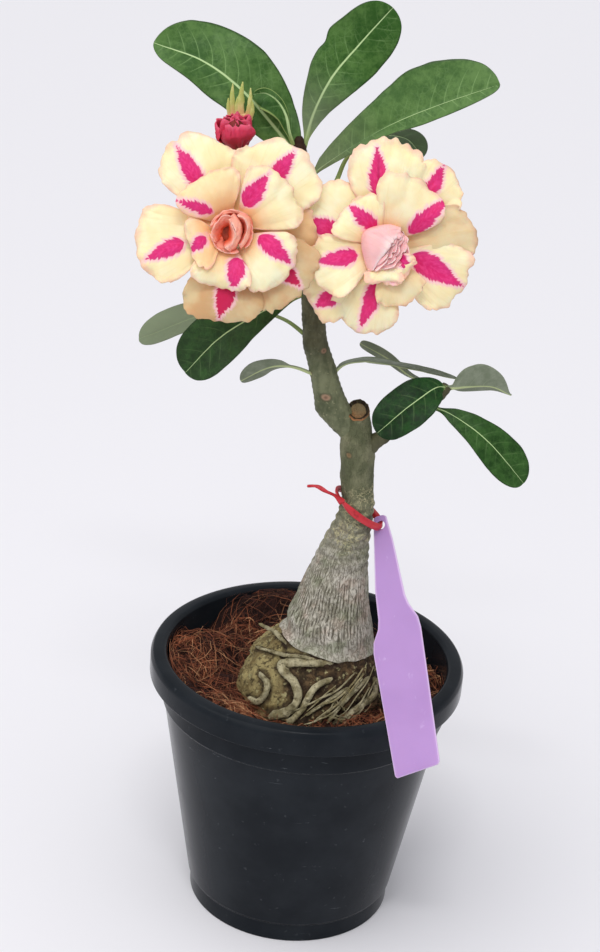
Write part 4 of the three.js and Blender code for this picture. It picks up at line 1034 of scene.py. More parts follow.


# Leaves

# tint is (how lit the leaf is painted, from shade to full sun; how much greyish sheen is painted on it; how
# young it is). The last seven say how a leaf differs from a plain one.
Leaf = namedtuple("Leaf", "spine width facing stalk fold wave tint uneven swell taper rib edge sheen notch",
                  defaults=(0, 1.15, 0.45, 1, 0, 0, None))
LEAVES = {
    "leaf_crown_left": Leaf(
        [(-23, 0, 398), (-37, 4, 412), (-53, 7, 427), (-71, 9, 438), (-94, 11, 444)], 32.5,
        (0.1, -0.85, 0.5), 0.02, 0.12, 1.4, (0.85, 0.05, 0), uneven=0.22, swell=0.8, taper=0.55, rib=1.15),
    "leaf_crown_middle": Leaf(
        [(-22, 0, 403), (-19, 5, 419), (-12, 10, 435), (0, 15, 451), (13, 17, 467.5)], 29,
        (0.25, -0.93, 0.3), 0.05, 0.1, 1.2, (0.75, 0, 0), sheen=0.55, notch=0.62),
    "leaf_crown_right": Leaf(
        [(-20, -2, 388), (-12, -2, 397), (15, -4, 418), (30, -6, 427), (63, -10, 443)], 25,
        (-0.1, -0.85, 0.5), 0.1, 0.2, 1.2, (0.95, 0.1, 0), uneven=-0.5, swell=1.4, sheen=0.6, rib=0.45),
    "leaf_crown_young": Leaf(
        [(-26, 0, 404), (-29.4, -1, 411.8), (-31.8, 0, 418.8), (-36, 1, 424.4), (-41.4, 2, 427.2),
         (-46.6, 2, 426.4)], 11, (0.3, -0.9, 0.4), 0.1, 0.3, 0.6, (0.45, 0, 0), uneven=-0.55, rib=1.2,
        edge=0.9),
    "leaf_stalk_right": Leaf(
        [(-6, 4, 388), (-1, 8, 400), (13, 11, 409), (25, 11, 409), (33, 8, 402)], 15, (0.1, -0.35, 0.93),
        0.36, 0.15, 0.8, (0.1, 0.3, 0), rib=0.8),
    "leaf_under_left": Leaf(
        [(-14, -6, 337), (-36, -16, 328), (-54, -21, 316), (-69, -23, 298)], 27, (-0.1, -0.8, 0.6), 0.08,
        0.22, 0.8, (0.15, 0.05, 0), rib=0.7),
    "leaf_left_back": Leaf(
        [(-13, -5, 314), (-25, 0, 320), (-47, 8, 321), (-69, 14, 312), (-95, 16, 298)], 21,
        (-0.25, -0.45, 0.86), 0.3, 0.15, 0.8, (0.4, 0.85, 0)),
    "leaf_left_small": Leaf(
        [(-7, -8, 296), (-19, -12, 301), (-30, -16, 302), (-43, -20, 295)], 13, (-0.3, 0.8, 0.5), 0.36,
        0.1, 0.5, (0.5, 0.5, 0)),
    "leaf_right_long": Leaf(
        [(-1, -6, 295), (5, -5, 302), (14, -3, 303.5), (31, 0, 301.5), (60, 2, 296.5)], 16, (0, 0.5, 0.87),
        0.16, 0.1, 0.3, (0.3, 0.6, 0), swell=0.7),
    "leaf_under_right": Leaf(
        [(-10, -5, 336), (-2, -3, 336), (6, -1, 331), (12.5, -1, 321)], 12, (0.2, -0.5, 0.85), 0.1, 0.15,
        0.5, (0.0, 0, 0)),
    "leaf_twig_front": Leaf(
        [(54, -16, 298.5), (49, -20, 299.5), (38, -27, 293), (23, -32, 279)], 22.5, (-0.25, -0.8, 0.55),
        0.06, 0.12, 0.8, (0.0, 0, 0), rib=0.55),
    "leaf_twig_hanging": Leaf(
        [(48, -15.5, 288), (58, -19, 286), (76, -24, 276), (95, -26, 257)], 20, (0.3, -0.8, 0.52), 0.06,
        0.14, 0.8, (0.3, 0, 0), swell=1.6, rib=0.6),
    "leaf_twig_right": Leaf(
        [(54.5, -14.5, 297.5), (65, -11, 298.6), (76, -8, 298), (86, -6, 293.4)], 16, (0.1, 0.95, 0.3),
        0.08, 0.12, 0.3, (0.4, 0.5, 0), uneven=0.48, swell=0.75, taper=1.3, rib=0.7),
    "leaf_twig_back": Leaf(
        [(53.5, -12, 297.5), (46, -1, 294.5), (37, 9, 294), (26, 16, 299), (12.5, 20, 304)], 6.5,
        (0, 0.95, 0.3), 0.14, 0.15, 0.2, (0.3, 0.6, 0), swell=1.4, taper=0.32, rib=0.6),
}
LEAF_ROWS = 70
LEAF_COLUMNS = 27


def leaf_half_width(leaf, along):
    share = np.maximum(0, (along - leaf.stalk) / (1 - leaf.stalk))
    swell, taper = leaf.swell, leaf.taper
    widest = swell / (swell + taper)
    peak = widest**swell * (1 - widest) ** taper
    outline = share**swell * (1 - share) ** taper / peak
    return np.hypot(mix(1.1, 0.35, along), leaf.width / 2 * outline)


def make_leaf(name, leaf, material):
    along = (1 - (1 - np.linspace(0, 1, LEAF_ROWS)) ** 1.5)[:, None]
    across = shares_across(LEAF_COLUMNS)
    across = np.sign(across) * np.abs(across) ** 0.9
    forward = tangents(leaf.spine, along[:, 0])[:, None]
    side = unit(np.cross(forward, np.array(leaf.facing, float)))
    up = np.cross(side, forward)
    half = leaf_half_width(leaf, along) * (1 + leaf.uneven * np.sign(across))
    if leaf.notch:
        dent = np.exp(-(((along - leaf.notch) / 0.035) ** 2))
        bulge = np.exp(-(((along - leaf.notch - 0.09) / 0.06) ** 2))
        half = half * (1 + (0.05 * bulge - 0.1 * dent) * (across < 0))
    ripple = np.sin(along * 15 + np.where(across > 0, 0, 1.7)) * across**2
    size = np.minimum(1, half / 8)
    rise = half * leaf.fold * np.abs(across) + leaf.wave * ripple * size
    spine = curve(leaf.spine, along[:, 0])
    long = lengths_along(spine)[:, None]
    sideways = half * across
    phase = (long - 0.5 * np.abs(sideways) + np.where(across > 0, 2.9, 0)) / 6.8
    puff = -0.1 * np.cos(2 * np.pi * phase) * np.minimum(1, np.abs(sideways) / 3) * (1 - across**4)
    seed = sum(ord(c) for c in name)
    flat = stack(long, sideways, seed)
    puff = puff + 0.5 * noise(flat, 13, seed) + 0.12 * noise(flat, 4, seed + 1)
    rib_width = leaf.rib * mix(1.25, 0.22, along**0.8)
    groove = -0.5 * np.exp(-((sideways / rib_width) ** 2))
    nick = 1 + 0.022 * noise(flat, 5, seed + 2) * across**4
    rise = rise + size * (puff + groove)
    middle = spine[:, None] + side * (sideways * nick)[..., None] + up * rise[..., None]
    rib = (1 - np.abs(across)) * (1 - along)
    pale_edge = leaf.edge * smoothstep(np.abs(across), 0.86, 0.96)
    thickness = (0.62 + 1.2 * rib**2) * (1 - 0.5 * np.abs(across) ** 6)
    thickness = thickness + 0.7 * np.exp(-((sideways / 0.75) ** 2)) * (1 - along)
    stalky = 1 - smoothstep(along, leaf.stalk * 0.6, leaf.stalk + 0.12)
    painted_light, painted_sheen, young = leaf.tint
    # sheen paints a greyish reflection over the base of the leaf.
    painted_sheen = np.maximum(painted_sheen, leaf.sheen * (1 - smoothstep(along, 0.15, 0.62)))
    young = np.maximum(young, np.maximum(0.75 * stalky, pale_edge))
    coordinates = stack(long, sideways, np.maximum(half, 0.5))
    form = Form()
    form.blade(middle, thickness, backs=(1.0, 0.0), leaf=coordinates, rib_width=rib_width,
               tint=stack(painted_light, painted_sheen, young))
    form.piece(name + "_blade", material, "leaf_green", name)


# Blooms

# blotch is the outer end and the inner end, each as radius and angle, and then the half width
Petal = namedtuple("Petal", "angle reach width blotch base rise droop cup twist ruffle warm shade "
                   "pleat line trim blush", defaults=[None] + [0] * 8 + [0.75, 0, (1, 0), 0])
outer_petal = partial(Petal, base=-7, rise=9, droop=6.5, cup=-1.5, twist=2, ruffle=1)
inner_petal = partial(Petal, base=-5.5, rise=14, droop=5, cup=1.5, twist=1.8, ruffle=0.9)
LEFT_PETALS = [
    # This back petal is painted deep orange, as a shaded petal glows with light through it, and takes
    # painted shade.
    outer_petal(352, 38, 17, base=-10, warm=0.85, shade=0.3),
    outer_petal(52, 47, 23, (46.5, 50.6, 26, 49, 4.0), trim=(1, 0.24)),
    outer_petal(113, 46.5, 19.5, (45.5, 121.5, 23.5, 123.5, 3.9), trim=(-1, 0.24)),
    outer_petal(189, 42.3, 18, (41, 197, 21.5, 191.5, 3.7), warm=0.12),
    outer_petal(262, 41, 18.5, (39, 261, 22.5, 267, 4.3), shade=0.85, warm=0.25),
    outer_petal(320, 42, 18.5, (40, 321, 23, 325, 4.0), shade=0.85, warm=0.15),
    inner_petal(38, 33, 17, (30.4, 56, 13, 61, 4.2), warm=0.25, pleat=1.3),
    inner_petal(118, 28, 16, (28.6, 150, 12.2, 133, 2.4), warm=0.45),
    inner_petal(164, 20, 10, base=-8, rise=11, warm=0.5, shade=0.15),
    inner_petal(200, 20, 12, (20.5, 206, 11.5, 190, 2.7), warm=0.4),
    inner_petal(256, 26, 14, (25.6, 271, 12, 284, 4.2), warm=0.15),
    inner_petal(322, 31, 16, (30.8, 331, 13, 351, 4.0)),
]
RIGHT_PETALS = [
    outer_petal(87, 47.5, 19, (46, 94, 24, 96, 4.1), line=0.8),
    outer_petal(50, 47, 15, (47, 54.5, 30, 50, 3.3), base=-9),
    outer_petal(8, 41.5, 16, (41.5, -5, 35, -7, 1.6), shade=0.6, pleat=1.2),
    outer_petal(-26, 40.5, 16.5, (40, -25.5, 13, -14, 5.2)),
    outer_petal(252, 38.5, 16, (38.3, 253, 15.5, 260, 3.6)),
    outer_petal(220, 42, 14, (41.5, 220, 27, 223, 4.0), base=-9),
    outer_petal(152, 40, 19, (37.5, 158, 21.5, 163, 4.4)),
    inner_petal(62, 34, 17, (37.5, 39, 13.6, 33, 3.9), warm=0.1, shade=0.12),
    inner_petal(128, 26, 14, (26.5, 129, 9.8, 113, 3.5)),
    inner_petal(197, 33, 15, (31.5, 190, 12.6, 191, 3.8)),
    inner_petal(291, 26, 12, base=-7, shade=0.3),
    inner_petal(268, 15.5, 9, base=-3, droop=4, ruffle=1.6, blush=0.2),
    inner_petal(304, 15, 9, (15.2, 284, 11, 286, 1.7), base=-3, droop=4, ruffle=1.6, blush=0.2),
    inner_petal(327, 14.5, 5, (15, 322, 5.5, 338, 2.9), base=-2, blush=0.1),
]
PETAL_ROWS = 44
PETAL_COLUMNS = 40
TUBE_ROWS = 30
TUBE_SIDES = 60
SHELL_ROWS = 24
SHELL_COLUMNS = 32
FOLD_ROWS = 24
FOLD_COLUMNS = 42
CORE_ROWS = 30
CORE_SIDES = 48
SEPALS = 5
# Radius and height of the tube behind the petals
BLOOM_TUBE = [(2.6, -TUBE_LENGTH), (3.0, -TUBE_LENGTH + 5), (3.4, -TUBE_LENGTH + 9),
              (4.2, -TUBE_LENGTH + 14), (5.4, -TUBE_LENGTH + 19), (7.2, -8),
              (TUBE_MOUTH_RADIUS, -TUBE_MOUTH_DEPTH - 3), (TUBE_MOUTH_RADIUS, -TUBE_MOUTH_DEPTH)]


def petal_grid(petal):
    """Middle points of a petal, and where each lies on it: across, share of its length, edge."""
    along = shares_down(PETAL_ROWS)
    across = shares_across(PETAL_COLUMNS)
    lengthwise = 2 * along - 1
    x = across * np.sqrt(1 - lengthwise**2 / 2)
    y = lengthwise * np.sqrt(1 - across**2 / 2)
    share = (y + 1) / 2
    disc = np.hypot(x, y)
    edge = disc**3
    around = np.arctan2(x, y + 0.2)
    seed = petal.angle
    ripple = petal.ruffle * edge * share * np.sin(5 * around + seed)
    spot = stack(x * 2, y * 2, seed * 0.37)
    ripple = ripple + 0.5 * disc**6 * share * np.sin(11 * around + 3 * seed + 7 * noise(spot, 0.9, seed))
    ripple = ripple + 0.45 * disc**10 * share * noise(spot, 0.22, seed + 4)
    curl = 2.2 * smoothstep(disc, 0.8, 1.0) ** 2 * share * (noise(spot, 0.55, seed + 7) - 0.15)
    fold = np.abs(np.sin(5.5 * x + 1.7 * noise(spot, 0.8, seed + 3) + seed))
    crease = petal.pleat * (fold - 0.6) * share * (1 - 0.6 * disc**4)
    billow = 0.9 * noise(spot, 0.85, seed + 5) * share
    arch = petal.base + petal.rise * (1 - (1 - share) ** 2) - petal.droop * share**3
    lean = share * (petal.cup * x * x + petal.twist * x)
    nick = 1 + disc**8 * (0.028 * noise(spot, 0.2, seed + 9) + 0.05 * noise(spot, 0.7, seed + 10))
    trim_side, trim = petal.trim
    nick = nick * (1 - trim * smoothstep(x * trim_side, 0.1, 0.85) * share**2)
    outward = np.append(polar(1, petal.angle), 0)
    sideways = np.array([-outward[1], outward[0], 0])
    length = mix(PETAL_ROOT, petal.reach, share) * nick + 0.5 * ripple
    width = 1.1 * x * petal.width * (0.1 + 1.2 * share**0.9) * nick
    rise = arch + lean + ripple + curl + crease + billow
    point = length[..., None] * outward + width[..., None] * sideways
    point[..., 2] += rise
    return point, x, share, disc


def blotch_values(petal, place):
    """How deep each point lies in the petal's blotch, in millimetres, and its feather pattern."""
    seed = petal.angle * 0.61
    if not petal.blotch:
        return np.full(place.shape[:-1], -30.0), np.full(place.shape, seed)
    outer, outer_angle, inner, inner_angle, half = petal.blotch
    tip = polar(outer, outer_angle)
    root = polar(inner, inner_angle)
    axis = tip - root
    long = np.linalg.norm(axis)
    axis = axis / long
    off = place[..., :2] - root
    along = off @ axis
    lateral = off @ np.array([-axis[1], axis[0]])
    share = np.clip(along / long, 0, 1)
    profile = share**0.5 * (1 - share) ** 1.1
    profile = profile / (0.3125**0.5 * 0.6875**1.1)
    past = np.maximum(0, np.maximum(-along, along - long))
    stain = half * profile - np.hypot(lateral, past)
    feather = stack(lateral * 0.16, along - 0.85 * np.abs(lateral), seed)
    return stain, feather


def placement(centre, facing, roll):
    z = unit(facing)
    x = unit(np.cross([0, 0, 1], z))
    y = np.cross(z, x)
    turn = math.radians(roll)
    c, s = math.cos(turn), math.sin(turn)
    return np.array([x * c + y * s, y * c - x * s, z]), np.array(centre, float)


def placed(points, frame_of):
    axes, centre = frame_of
    return points @ axes + centre


def make_petals(name, petals, place_of, material, throat):
    form = Form()
    for petal in petals:
        point, across, share, disc = petal_grid(petal)
        stain, feather = blotch_values(petal, point)
        # Petals low in the bloom take more painted shade.
        low = smoothstep(-point[..., 1], 8, 40)
        radius = np.hypot(point[..., 0], point[..., 1])
        shade = np.clip(petal.shade + 0.3 * low, 0, 1)
        warm = np.clip(petal.warm + throat * (1 - smoothstep(radius, 9, 23)), 0, 1)
        line = petal.line * np.exp(-((feather[..., 0] / 0.16 / 0.45) ** 2))
        coordinates = stack(across, share, petal.angle * 0.37)
        thickness = 0.5 * (1 - 0.45 * disc**6)
        form.blade(placed(point, place_of), thickness, petal=coordinates, rim=disc + petal.blush,
                   tone=stack(shade, warm, line), stain=stain, feather=feather)
    wall = turned(curve(BLOOM_TUBE, np.linspace(0, 1, TUBE_ROWS)), TUBE_SIDES)
    turn = np.arctan2(wall[..., 1], wall[..., 0])
    wall[..., :2] *= (1 + 0.035 * np.cos(5 * turn))[..., None]
    coordinates = stack(np.sin(turn), shares_down(TUBE_ROWS) / 2, 0.3)
    form.grid(placed(wall, place_of), petal=coordinates, rim=0.4, tone=stack(0 * turn, 0.35, 0), stain=-30)
    form.piece(name, material, "petal_cream", name.replace("_corolla", "_petals"))


def add_shell(form, place_of, k):
    """One of the bud's crumpled shells. Each is turned on, narrower and higher than the last."""
    along = shares_down(SHELL_ROWS)
    across = shares_across(SHELL_COLUMNS)
    angle = 137.5 * k + 165
    seed = int(angle) + 50
    middle = math.radians(angle)
    opened = np.sin(np.pi * mix(0.22, 0.62, along))
    turn = middle + math.radians((150 - 4 * k) / 2) * across * opened
    spot = stack(across * 2.2, along * 2.2, seed)
    wave = 1.1 * along**2 * np.sin(5.2 * across + middle * 2)
    fine = 0.8 * along**4 * noise(spot, 0.25, seed)
    bulge = np.sin(np.pi * 0.6 * along) ** 1.35
    out = mix(2.6 - 0.15 * k, 9.9 - 0.5 * k, bulge) + (-2.4 - 0.4 * k) * along**3 + wave + fine
    facet = np.abs(noise(spot, 0.95, seed + 1)) + 0.5 * np.abs(noise(spot, 0.45, seed + 2))
    out = out + 0.7 * across * along - 3.2 * along * (facet - 0.35)
    top = 15.2 + 0.5 * k + 1.4 * (k % 2)
    height = mix(0.6 + 0.3 * k, top, along) - 1.6 * across**2 * along + 0.6 * wave + fine
    place = stack(out * np.cos(turn), out * np.sin(turn), height)
    form.blade(placed(place, place_of), 0.5 - 0.25 * along**4, shell=stack(along**2, along, across))


def add_fold(form, rows, place_of, tones, frill=0.0, seed=1, rough=1.0):
    """A folded petal through rows of knots, from its foot to its free edge.

    tones holds how pale the foot and the edge are; a low tone paints shade at the foot."""
    across = np.linspace(0, 1, FOLD_COLUMNS)
    along = shares_down(FOLD_ROWS)
    lines = np.stack([curve(row, across) for row in rows])
    place = curve(lines.reshape(len(rows), -1), along[:, 0]).reshape(FOLD_ROWS, FOLD_COLUMNS, 3)
    spot = stack(3.5 * across, 2.5 * along, seed)
    wave = frill * along**2 * np.sin(20 * across + seed + 5 * noise(spot, 1, seed))
    crumple = rough * (0.5 * noise(spot, 0.8, seed + 1) + 0.2 * noise(spot, 0.3, seed + 2))
    ragged = rough * along**3 * noise(spot, 0.45, seed + 3)
    place[..., 2] += wave + crumple + 0.7 * ragged
    place[..., :2] += (0.6 * wave + 0.8 * crumple)[..., None] * np.array([0.75, -0.6])
    values = stack(mix(tones[0], tones[1], along), along, 6 * across)
    form.blade(placed(place, place_of), 0.5 - 0.2 * along**4, shell=values)


def add_core(form, profile, place_of, tone, seed):
    # A low tone paints the core dark brown, as painted shade deep in the heart.
    place = turned(curve(profile, np.linspace(0, 1, CORE_ROWS)), CORE_SIDES)
    place = place + 0.5 * noise(place, 2.6, seed)[..., None] * np.array([1, 1, 0.4])
    turn = np.arctan2(place[..., 1], place[..., 0])
    form.grid(placed(place, place_of), shell=stack(tone, 0.5, turn))


def make_left_heart(place_of):
    """An open cup at the left, a lip down the middle, a fold at the right and a low outer ring."""
    form = Form()
    lip = [(-1, 5.6, 9.2), (0.9, 2.4, 9.9), (1.7, -1.4, 9.9), (0.5, -5.1, 9), (-2.4, -7.6, 7.6)]
    folds = [
        ((0.12, 1.1), [
            [(-4.5, -3.5, 2.5), (-4.2, -1.2, 1), (-3, 1.5, 0.5), (-1, 2.6, 0.5), (0.2, 2.6, 1.5)],
            [(-7.2, -4.2, 4.5), (-7, -0.2, 4.5), (-5.2, 3.2, 4.8), (-2, 5, 5.4), (0.6, 4.6, 6)],
            [(-8.4, -3.8, 7), (-8.6, 0.5, 7.6), (-6.2, 4.8, 8.4), (-2.4, 7.2, 9), (1, 6.6, 9.4)],
        ]),
        ((0.0, 0.95), [
            [(-0.8, 3.4, 2), (-0.8, 1.2, 1), (-1, -1, 1), (-1.8, -3, 2), (-3.2, -5, 3)],
            [(-0.6, 4.8, 6.5), (0.2, 1.8, 6.5), (0.5, -1.4, 6.5), (-0.5, -4.4, 6), (-2.7, -6.6, 5.5)],
            lip,
        ]),
        ((0.45, 1.0), [
            [(2.2, 7.2, 4.5), (4.6, 3.6, 4), (4.8, -1, 3.6), (3, -6, 3.4), (-0.2, -9, 3)],
            [(1.2, 7.4, 8.4), (3.4, 3.4, 9), (3.8, -1, 8.8), (2.2, -5.6, 7.8), (-1, -8.6, 6.2)],
            lip,
        ]),
        ((0.2, 0.95), [
            [(4.6, 4.6, 3.5), (5.8, 2.8, 3), (6, 0.6, 3), (5, -2, 3), (2.8, -4.4, 3)],
            [(3.6, 6.4, 6.5), (6, 4.6, 6), (6.8, 1.2, 6), (5.8, -2.4, 5.6), (3.4, -5.4, 5)],
            [(2.8, 7, 9), (5.9, 5.6, 8.8), (7.2, 1.6, 8.4), (6, -2.5, 7.8), (3.4, -6, 6.8)],
        ]),
        ((0.4, 0.9), [
            [(5.4, 8.2, 1.5), (8.5, 6, 1.5), (9.2, 1.6, 1.5), (7.6, -3.6, 1.5), (4.2, -7.8, 1.5)],
            [(4.4, 8, 6.5), (7.6, 6.2, 6), (8.6, 1.6, 5.8), (7.2, -3.2, 5.4), (4, -7.2, 4.8)],
            [(2.8, 7, 9), (5.9, 5.6, 8.8), (7.2, 1.6, 8.4), (6, -2.5, 7.8), (3.4, -6, 6.8)],
        ]),
        ((0.35, 0.95), [
            [(-4.5, -0.5, 1), (-4, -3, 1), (-2.6, -4.4, 1), (0, -5, 1), (2, -4.6, 1)],
            [(-7.5, -1, 2.6), (-6.8, -4.2, 2.8), (-4.2, -6.8, 3), (-0.8, -7.8, 3), (2.6, -7, 2.8)],
            [(-9.2, -1, 4.2), (-8, -5.4, 5.2), (-5.4, -8, 4.4), (-1.2, -9.6, 5.4), (3, -8.8, 4.2)],
        ]),
        ((0.0, 1.0), [
            [(-5, 1.4, 0.5), (-3.6, 4.2, 0.5), (-1, 5.4, 0.5), (2, 5.4, 0.5), (4.6, 4, 0.5)],
            [(-7.6, 2, 3), (-5.6, 6, 3.2), (-1.6, 8, 3.4), (2.6, 8, 3.2), (6.4, 6, 3)],
            [(-9.4, 2.4, 3.4), (-6.6, 6.8, 5.4), (-2, 9.8, 3.6), (3, 9.2, 5.2), (7.8, 7.4, 3.4)],
        ]),
        ((0.05, 0.85), [
            [(4.4, 3.4, 0.5), (5.6, 1, 0.5), (5.4, -1.6, 0.5), (4, -4, 0.5)],
            [(7, 4.4, 2.6), (8.4, 1, 2.8), (7.8, -2.8, 2.8), (5.4, -6, 2.6)],
            [(8.2, 5.6, 3.2), (9.6, 1.2, 4.6), (9.2, -3.6, 3.4), (6.2, -7.4, 4.2)],
        ]),
    ]
    for k, (tones, rows) in enumerate(folds):
        add_fold(form, rows, place_of, tones, 0.3, k + 3, 1.5)
    add_core(form, [(5.2, -1.1), (5.4, 0.2), (4.6, 0.8), (1.6, 1), (0.6, 1.1)], place_of, 0.0, 61)
    material = heart_look("heart_coral", (250, 168, 146), (232, 98, 66), (253, 196, 182))
    form.piece("bloom_left_rosette", material, "heart_coral", "bloom_left_heart")


def make_right_heart(place_of):
    """One smooth petal that closes over the left and top, and frilled layers at its right."""
    form = Form()
    margin = np.array([(-5.4, -9, 8), (-2.8, -5.2, 10.2), (-0.1, -1.3, 11.2), (2.1, 2.4, 11.4),
                       (4.4, 5.4, 10.6), (6.8, 7.4, 9)])
    add_fold(form, [
        [(-6.6, -9.6, 0), (-8.2, -4.6, 0), (-9.6, 2, 0), (-8.4, 8, 0), (1.3, 10.8, 0), (6.6, 9.2, 0)],
        [(-7, -10, 4.5), (-8.7, -4.4, 5.4), (-9.9, 2.4, 6.4), (-8.7, 8.3, 6.8), (1, 11, 7),
         (7.4, 9.6, 6)],
        [(-6.2, -9.6, 7.2), (-6.6, -3.6, 9.2), (-7, 2.6, 10.4), (-5.4, 7.2, 10.4), (1.4, 9, 10.2),
         (7.1, 8.8, 8.4)],
        margin], place_of, (0.5, 1.0), 0.5, 2, 1.4)
    shrink = np.array([0.2, 0.7, 1, 1, 0.8, 0.4])[:, None]
    for k, (east, north) in enumerate(((1.0, -0.7), (2.5, -1.4), (3.9, -3.1), (5.6, -3.9), (7.2, -5.6))):
        sway = 0.6 * np.sin(np.arange(6) * 1.9 + 2.3 * k)[:, None] * np.array([1, 0.8, 0.4])
        edge = margin + shrink * np.array([east, north, 0.3 - 0.45 * (k + 1)]) + sway * shrink
        edge = edge + (k + 1) * np.array([0.1, 0.1, -0.25])
        under = edge + np.array([-1.7, 1.3, -1.1])
        over = edge + np.array([-0.8, 0.6, -0.35])
        add_fold(form, [under.tolist(), over.tolist(), edge.tolist()], place_of, (0.66, 1.2), 0.9, 7 * k + 7,
                 1.6)
    for k, (size, rise) in enumerate(((1, 0), (0.82, 1.4))):
        rim = np.array([(-4.6, -9.8, 5.4), (1, -8.8, 6), (5.8, -5.4, 6.6), (9.2, -0.6, 6.8), (9.6, 4.4, 6.8),
                        (7.8, 8.4, 6.6)]) * np.array([size, size, 1]) + np.array([0, 0, rise])
        foot = rim * np.array([0.7, 0.7, 0])
        middle = mix(foot, rim, 0.55) * np.array([1.08, 1.08, 0.9])
        add_fold(form, [foot.tolist(), middle.tolist(), rim.tolist()], place_of, (0.2, 1.0), 0.4, 50 + k)
    core = [(5.4, -1.1), (7.0, 1.5), (6.6, 4), (4.4, 6.4), (2.2, 7.6), (0.5, 7.8)]
    add_core(form, core, place_of, 0.2, 62)
    material = heart_look("heart_pink", (250, 190, 190), (214, 110, 84), (255, 228, 226))
    form.piece("bloom_right_rosette", material, "heart_pink", "bloom_right_heart")


def make_calyx(name, place_of, material):
    form = Form()
    start = -CALYX_DEPTH + 0.3
    cup = [(1.6, start), (2.6, start + 0.3), (3.9, start + 1.6), (4.3, start + 2.8),
           (4.2, -TUBE_LENGTH - 0.5)]
    form.grid(placed(turned(curve(cup, np.linspace(0, 1, 16)), 40), place_of))
    along = shares_down(22)
    across = shares_across(11)
    for i in range(SEPALS):
        half = mix(2.2, 0.3, along**1.4)
        out = 3.9 + 3.2 * along + 0.5 * (1 - across**2) * (1 - along)
        turn = 2 * np.pi * i / SEPALS + half * across / out
        rise = mix(-TUBE_LENGTH - 2, -20, along)
        place = stack(out * np.cos(turn), out * np.sin(turn), rise)
        form.blade(placed(place, place_of), 0.7)
    form.piece(name + "_cup", material, "calyx_green", name)


# The bud beside the left bloom, and its tuft of tips

BUD_SHELLS = 9
BUD = ((-51.5, -12, 402), (-0.12, -0.22, 0.97))


def make_bud():
    form = Form()
    place_of = placement(*BUD, 0)
    for k in range(BUD_SHELLS):
        add_shell(form, place_of, k)
    core = [(1.6, -3), (2.2, -0.5), (3.4, 2), (5.8, 6.6), (5.6, 13), (3.4, 17), (0.8, 18)]
    add_core(form, core, place_of, 0.0, 63)
    material = heart_look("bud_crimson", (212, 56, 90), (160, 26, 46), (230, 96, 124))
    form.piece("bud_head", material, "bud_crimson", "bud")


TIPS_FOOT = (-51, -3.5, 416.5)
TIPS = [(-6.8, 8.5, 1.1), (-5.2, 15.3, 1.3), (-2.6, 9.5, 1.2), (-0.7, 16.6, 1.7), (3.0, 14.2, 1.3),
        (4.4, 8, 1.1)]


def make_tips():
    form = Form()
    x, y, z = TIPS_FOOT
    along = shares_down(34)
    across = shares_across(15)
    for k, (side, length, width) in enumerate(TIPS):
        spot = stack(6 * along, k, 3 * np.sign(across))
        jag = 1 + 0.16 * noise(spot, 0.5, 72)
        half = width * jag * np.sin(np.pi * mix(0.3, 0.97, along))
        bow = 0.54 * np.sin(np.pi * along) * np.sign(side - 0.1)
        px = x + side * mix(0.7, 1, along) + half * across + bow
        py = y + 0.5 * along + 0.9 * across**2 * half / 2 - 0.3 * k
        pz = z - 1.2 + (length + 1.2) * along
        form.blade(stack(px, py, pz), 0.7 - 0.4 * np.abs(across) ** 3, share=along)
    base = turned(curve([(1.0, -1.8), (4.4, -1), (5.0, 0.4), (4.2, 1.6), (2.5, 2.2)], np.linspace(0, 1, 14)),
                  36)
    base = base * np.array([1, 0.3, 1]) + np.array([x, y, z])
    base = base + 0.25 * noise(base, 1.6, 71)[..., None]
    form.grid(base)
    stalk = tube([(x, y, z), (x, y + 1, z - 9), (x + 0.5, y - 2.5, z - 20), (x + 1, y - 4.5, z - 24)],
                 [0.9, 1, 1, 0.9], 14, 40)
    form.grid(stalk)
    form.piece("bud_tuft", tip_look(), "tip_green", "bud_tips")


# The label and its tie

TAG_HOLE = np.array([30.3, -9, 220.7])
TAG_FOOT = np.array([56.1, -84.4, 128.4])
TAG_YAW = math.radians(-10)
TAG_HOLE_RADIUS = 2.1
TAG_THICKNESS = 0.8
TAG_ROWS = 150
TAG_OUTLINE = [
    (-3.4, -3.6), (-2, -4.6), (2, -4.8), (3.3, -3.8), (4.9, 8.5), (6.8, 36.5), (8, 41),
    (11.6, 48), (12.3, 53.5), (11.6, 118.6), (10.6, 119.9), (-10.3, 123.2), (-11.4, 122.4),
    (-13.4, 62), (-12.6, 57), (-9.4, 51), (-8.5, 46), (-8, 32),
]


def tag_axes():
    down = unit(TAG_FOOT - TAG_HOLE)
    across = np.array([math.cos(TAG_YAW), math.sin(TAG_YAW), 0])
    across[2] = -(across[0] * down[0] + across[1] * down[1]) / down[2]
    across = unit(across)
    return across, down, np.cross(across, down)


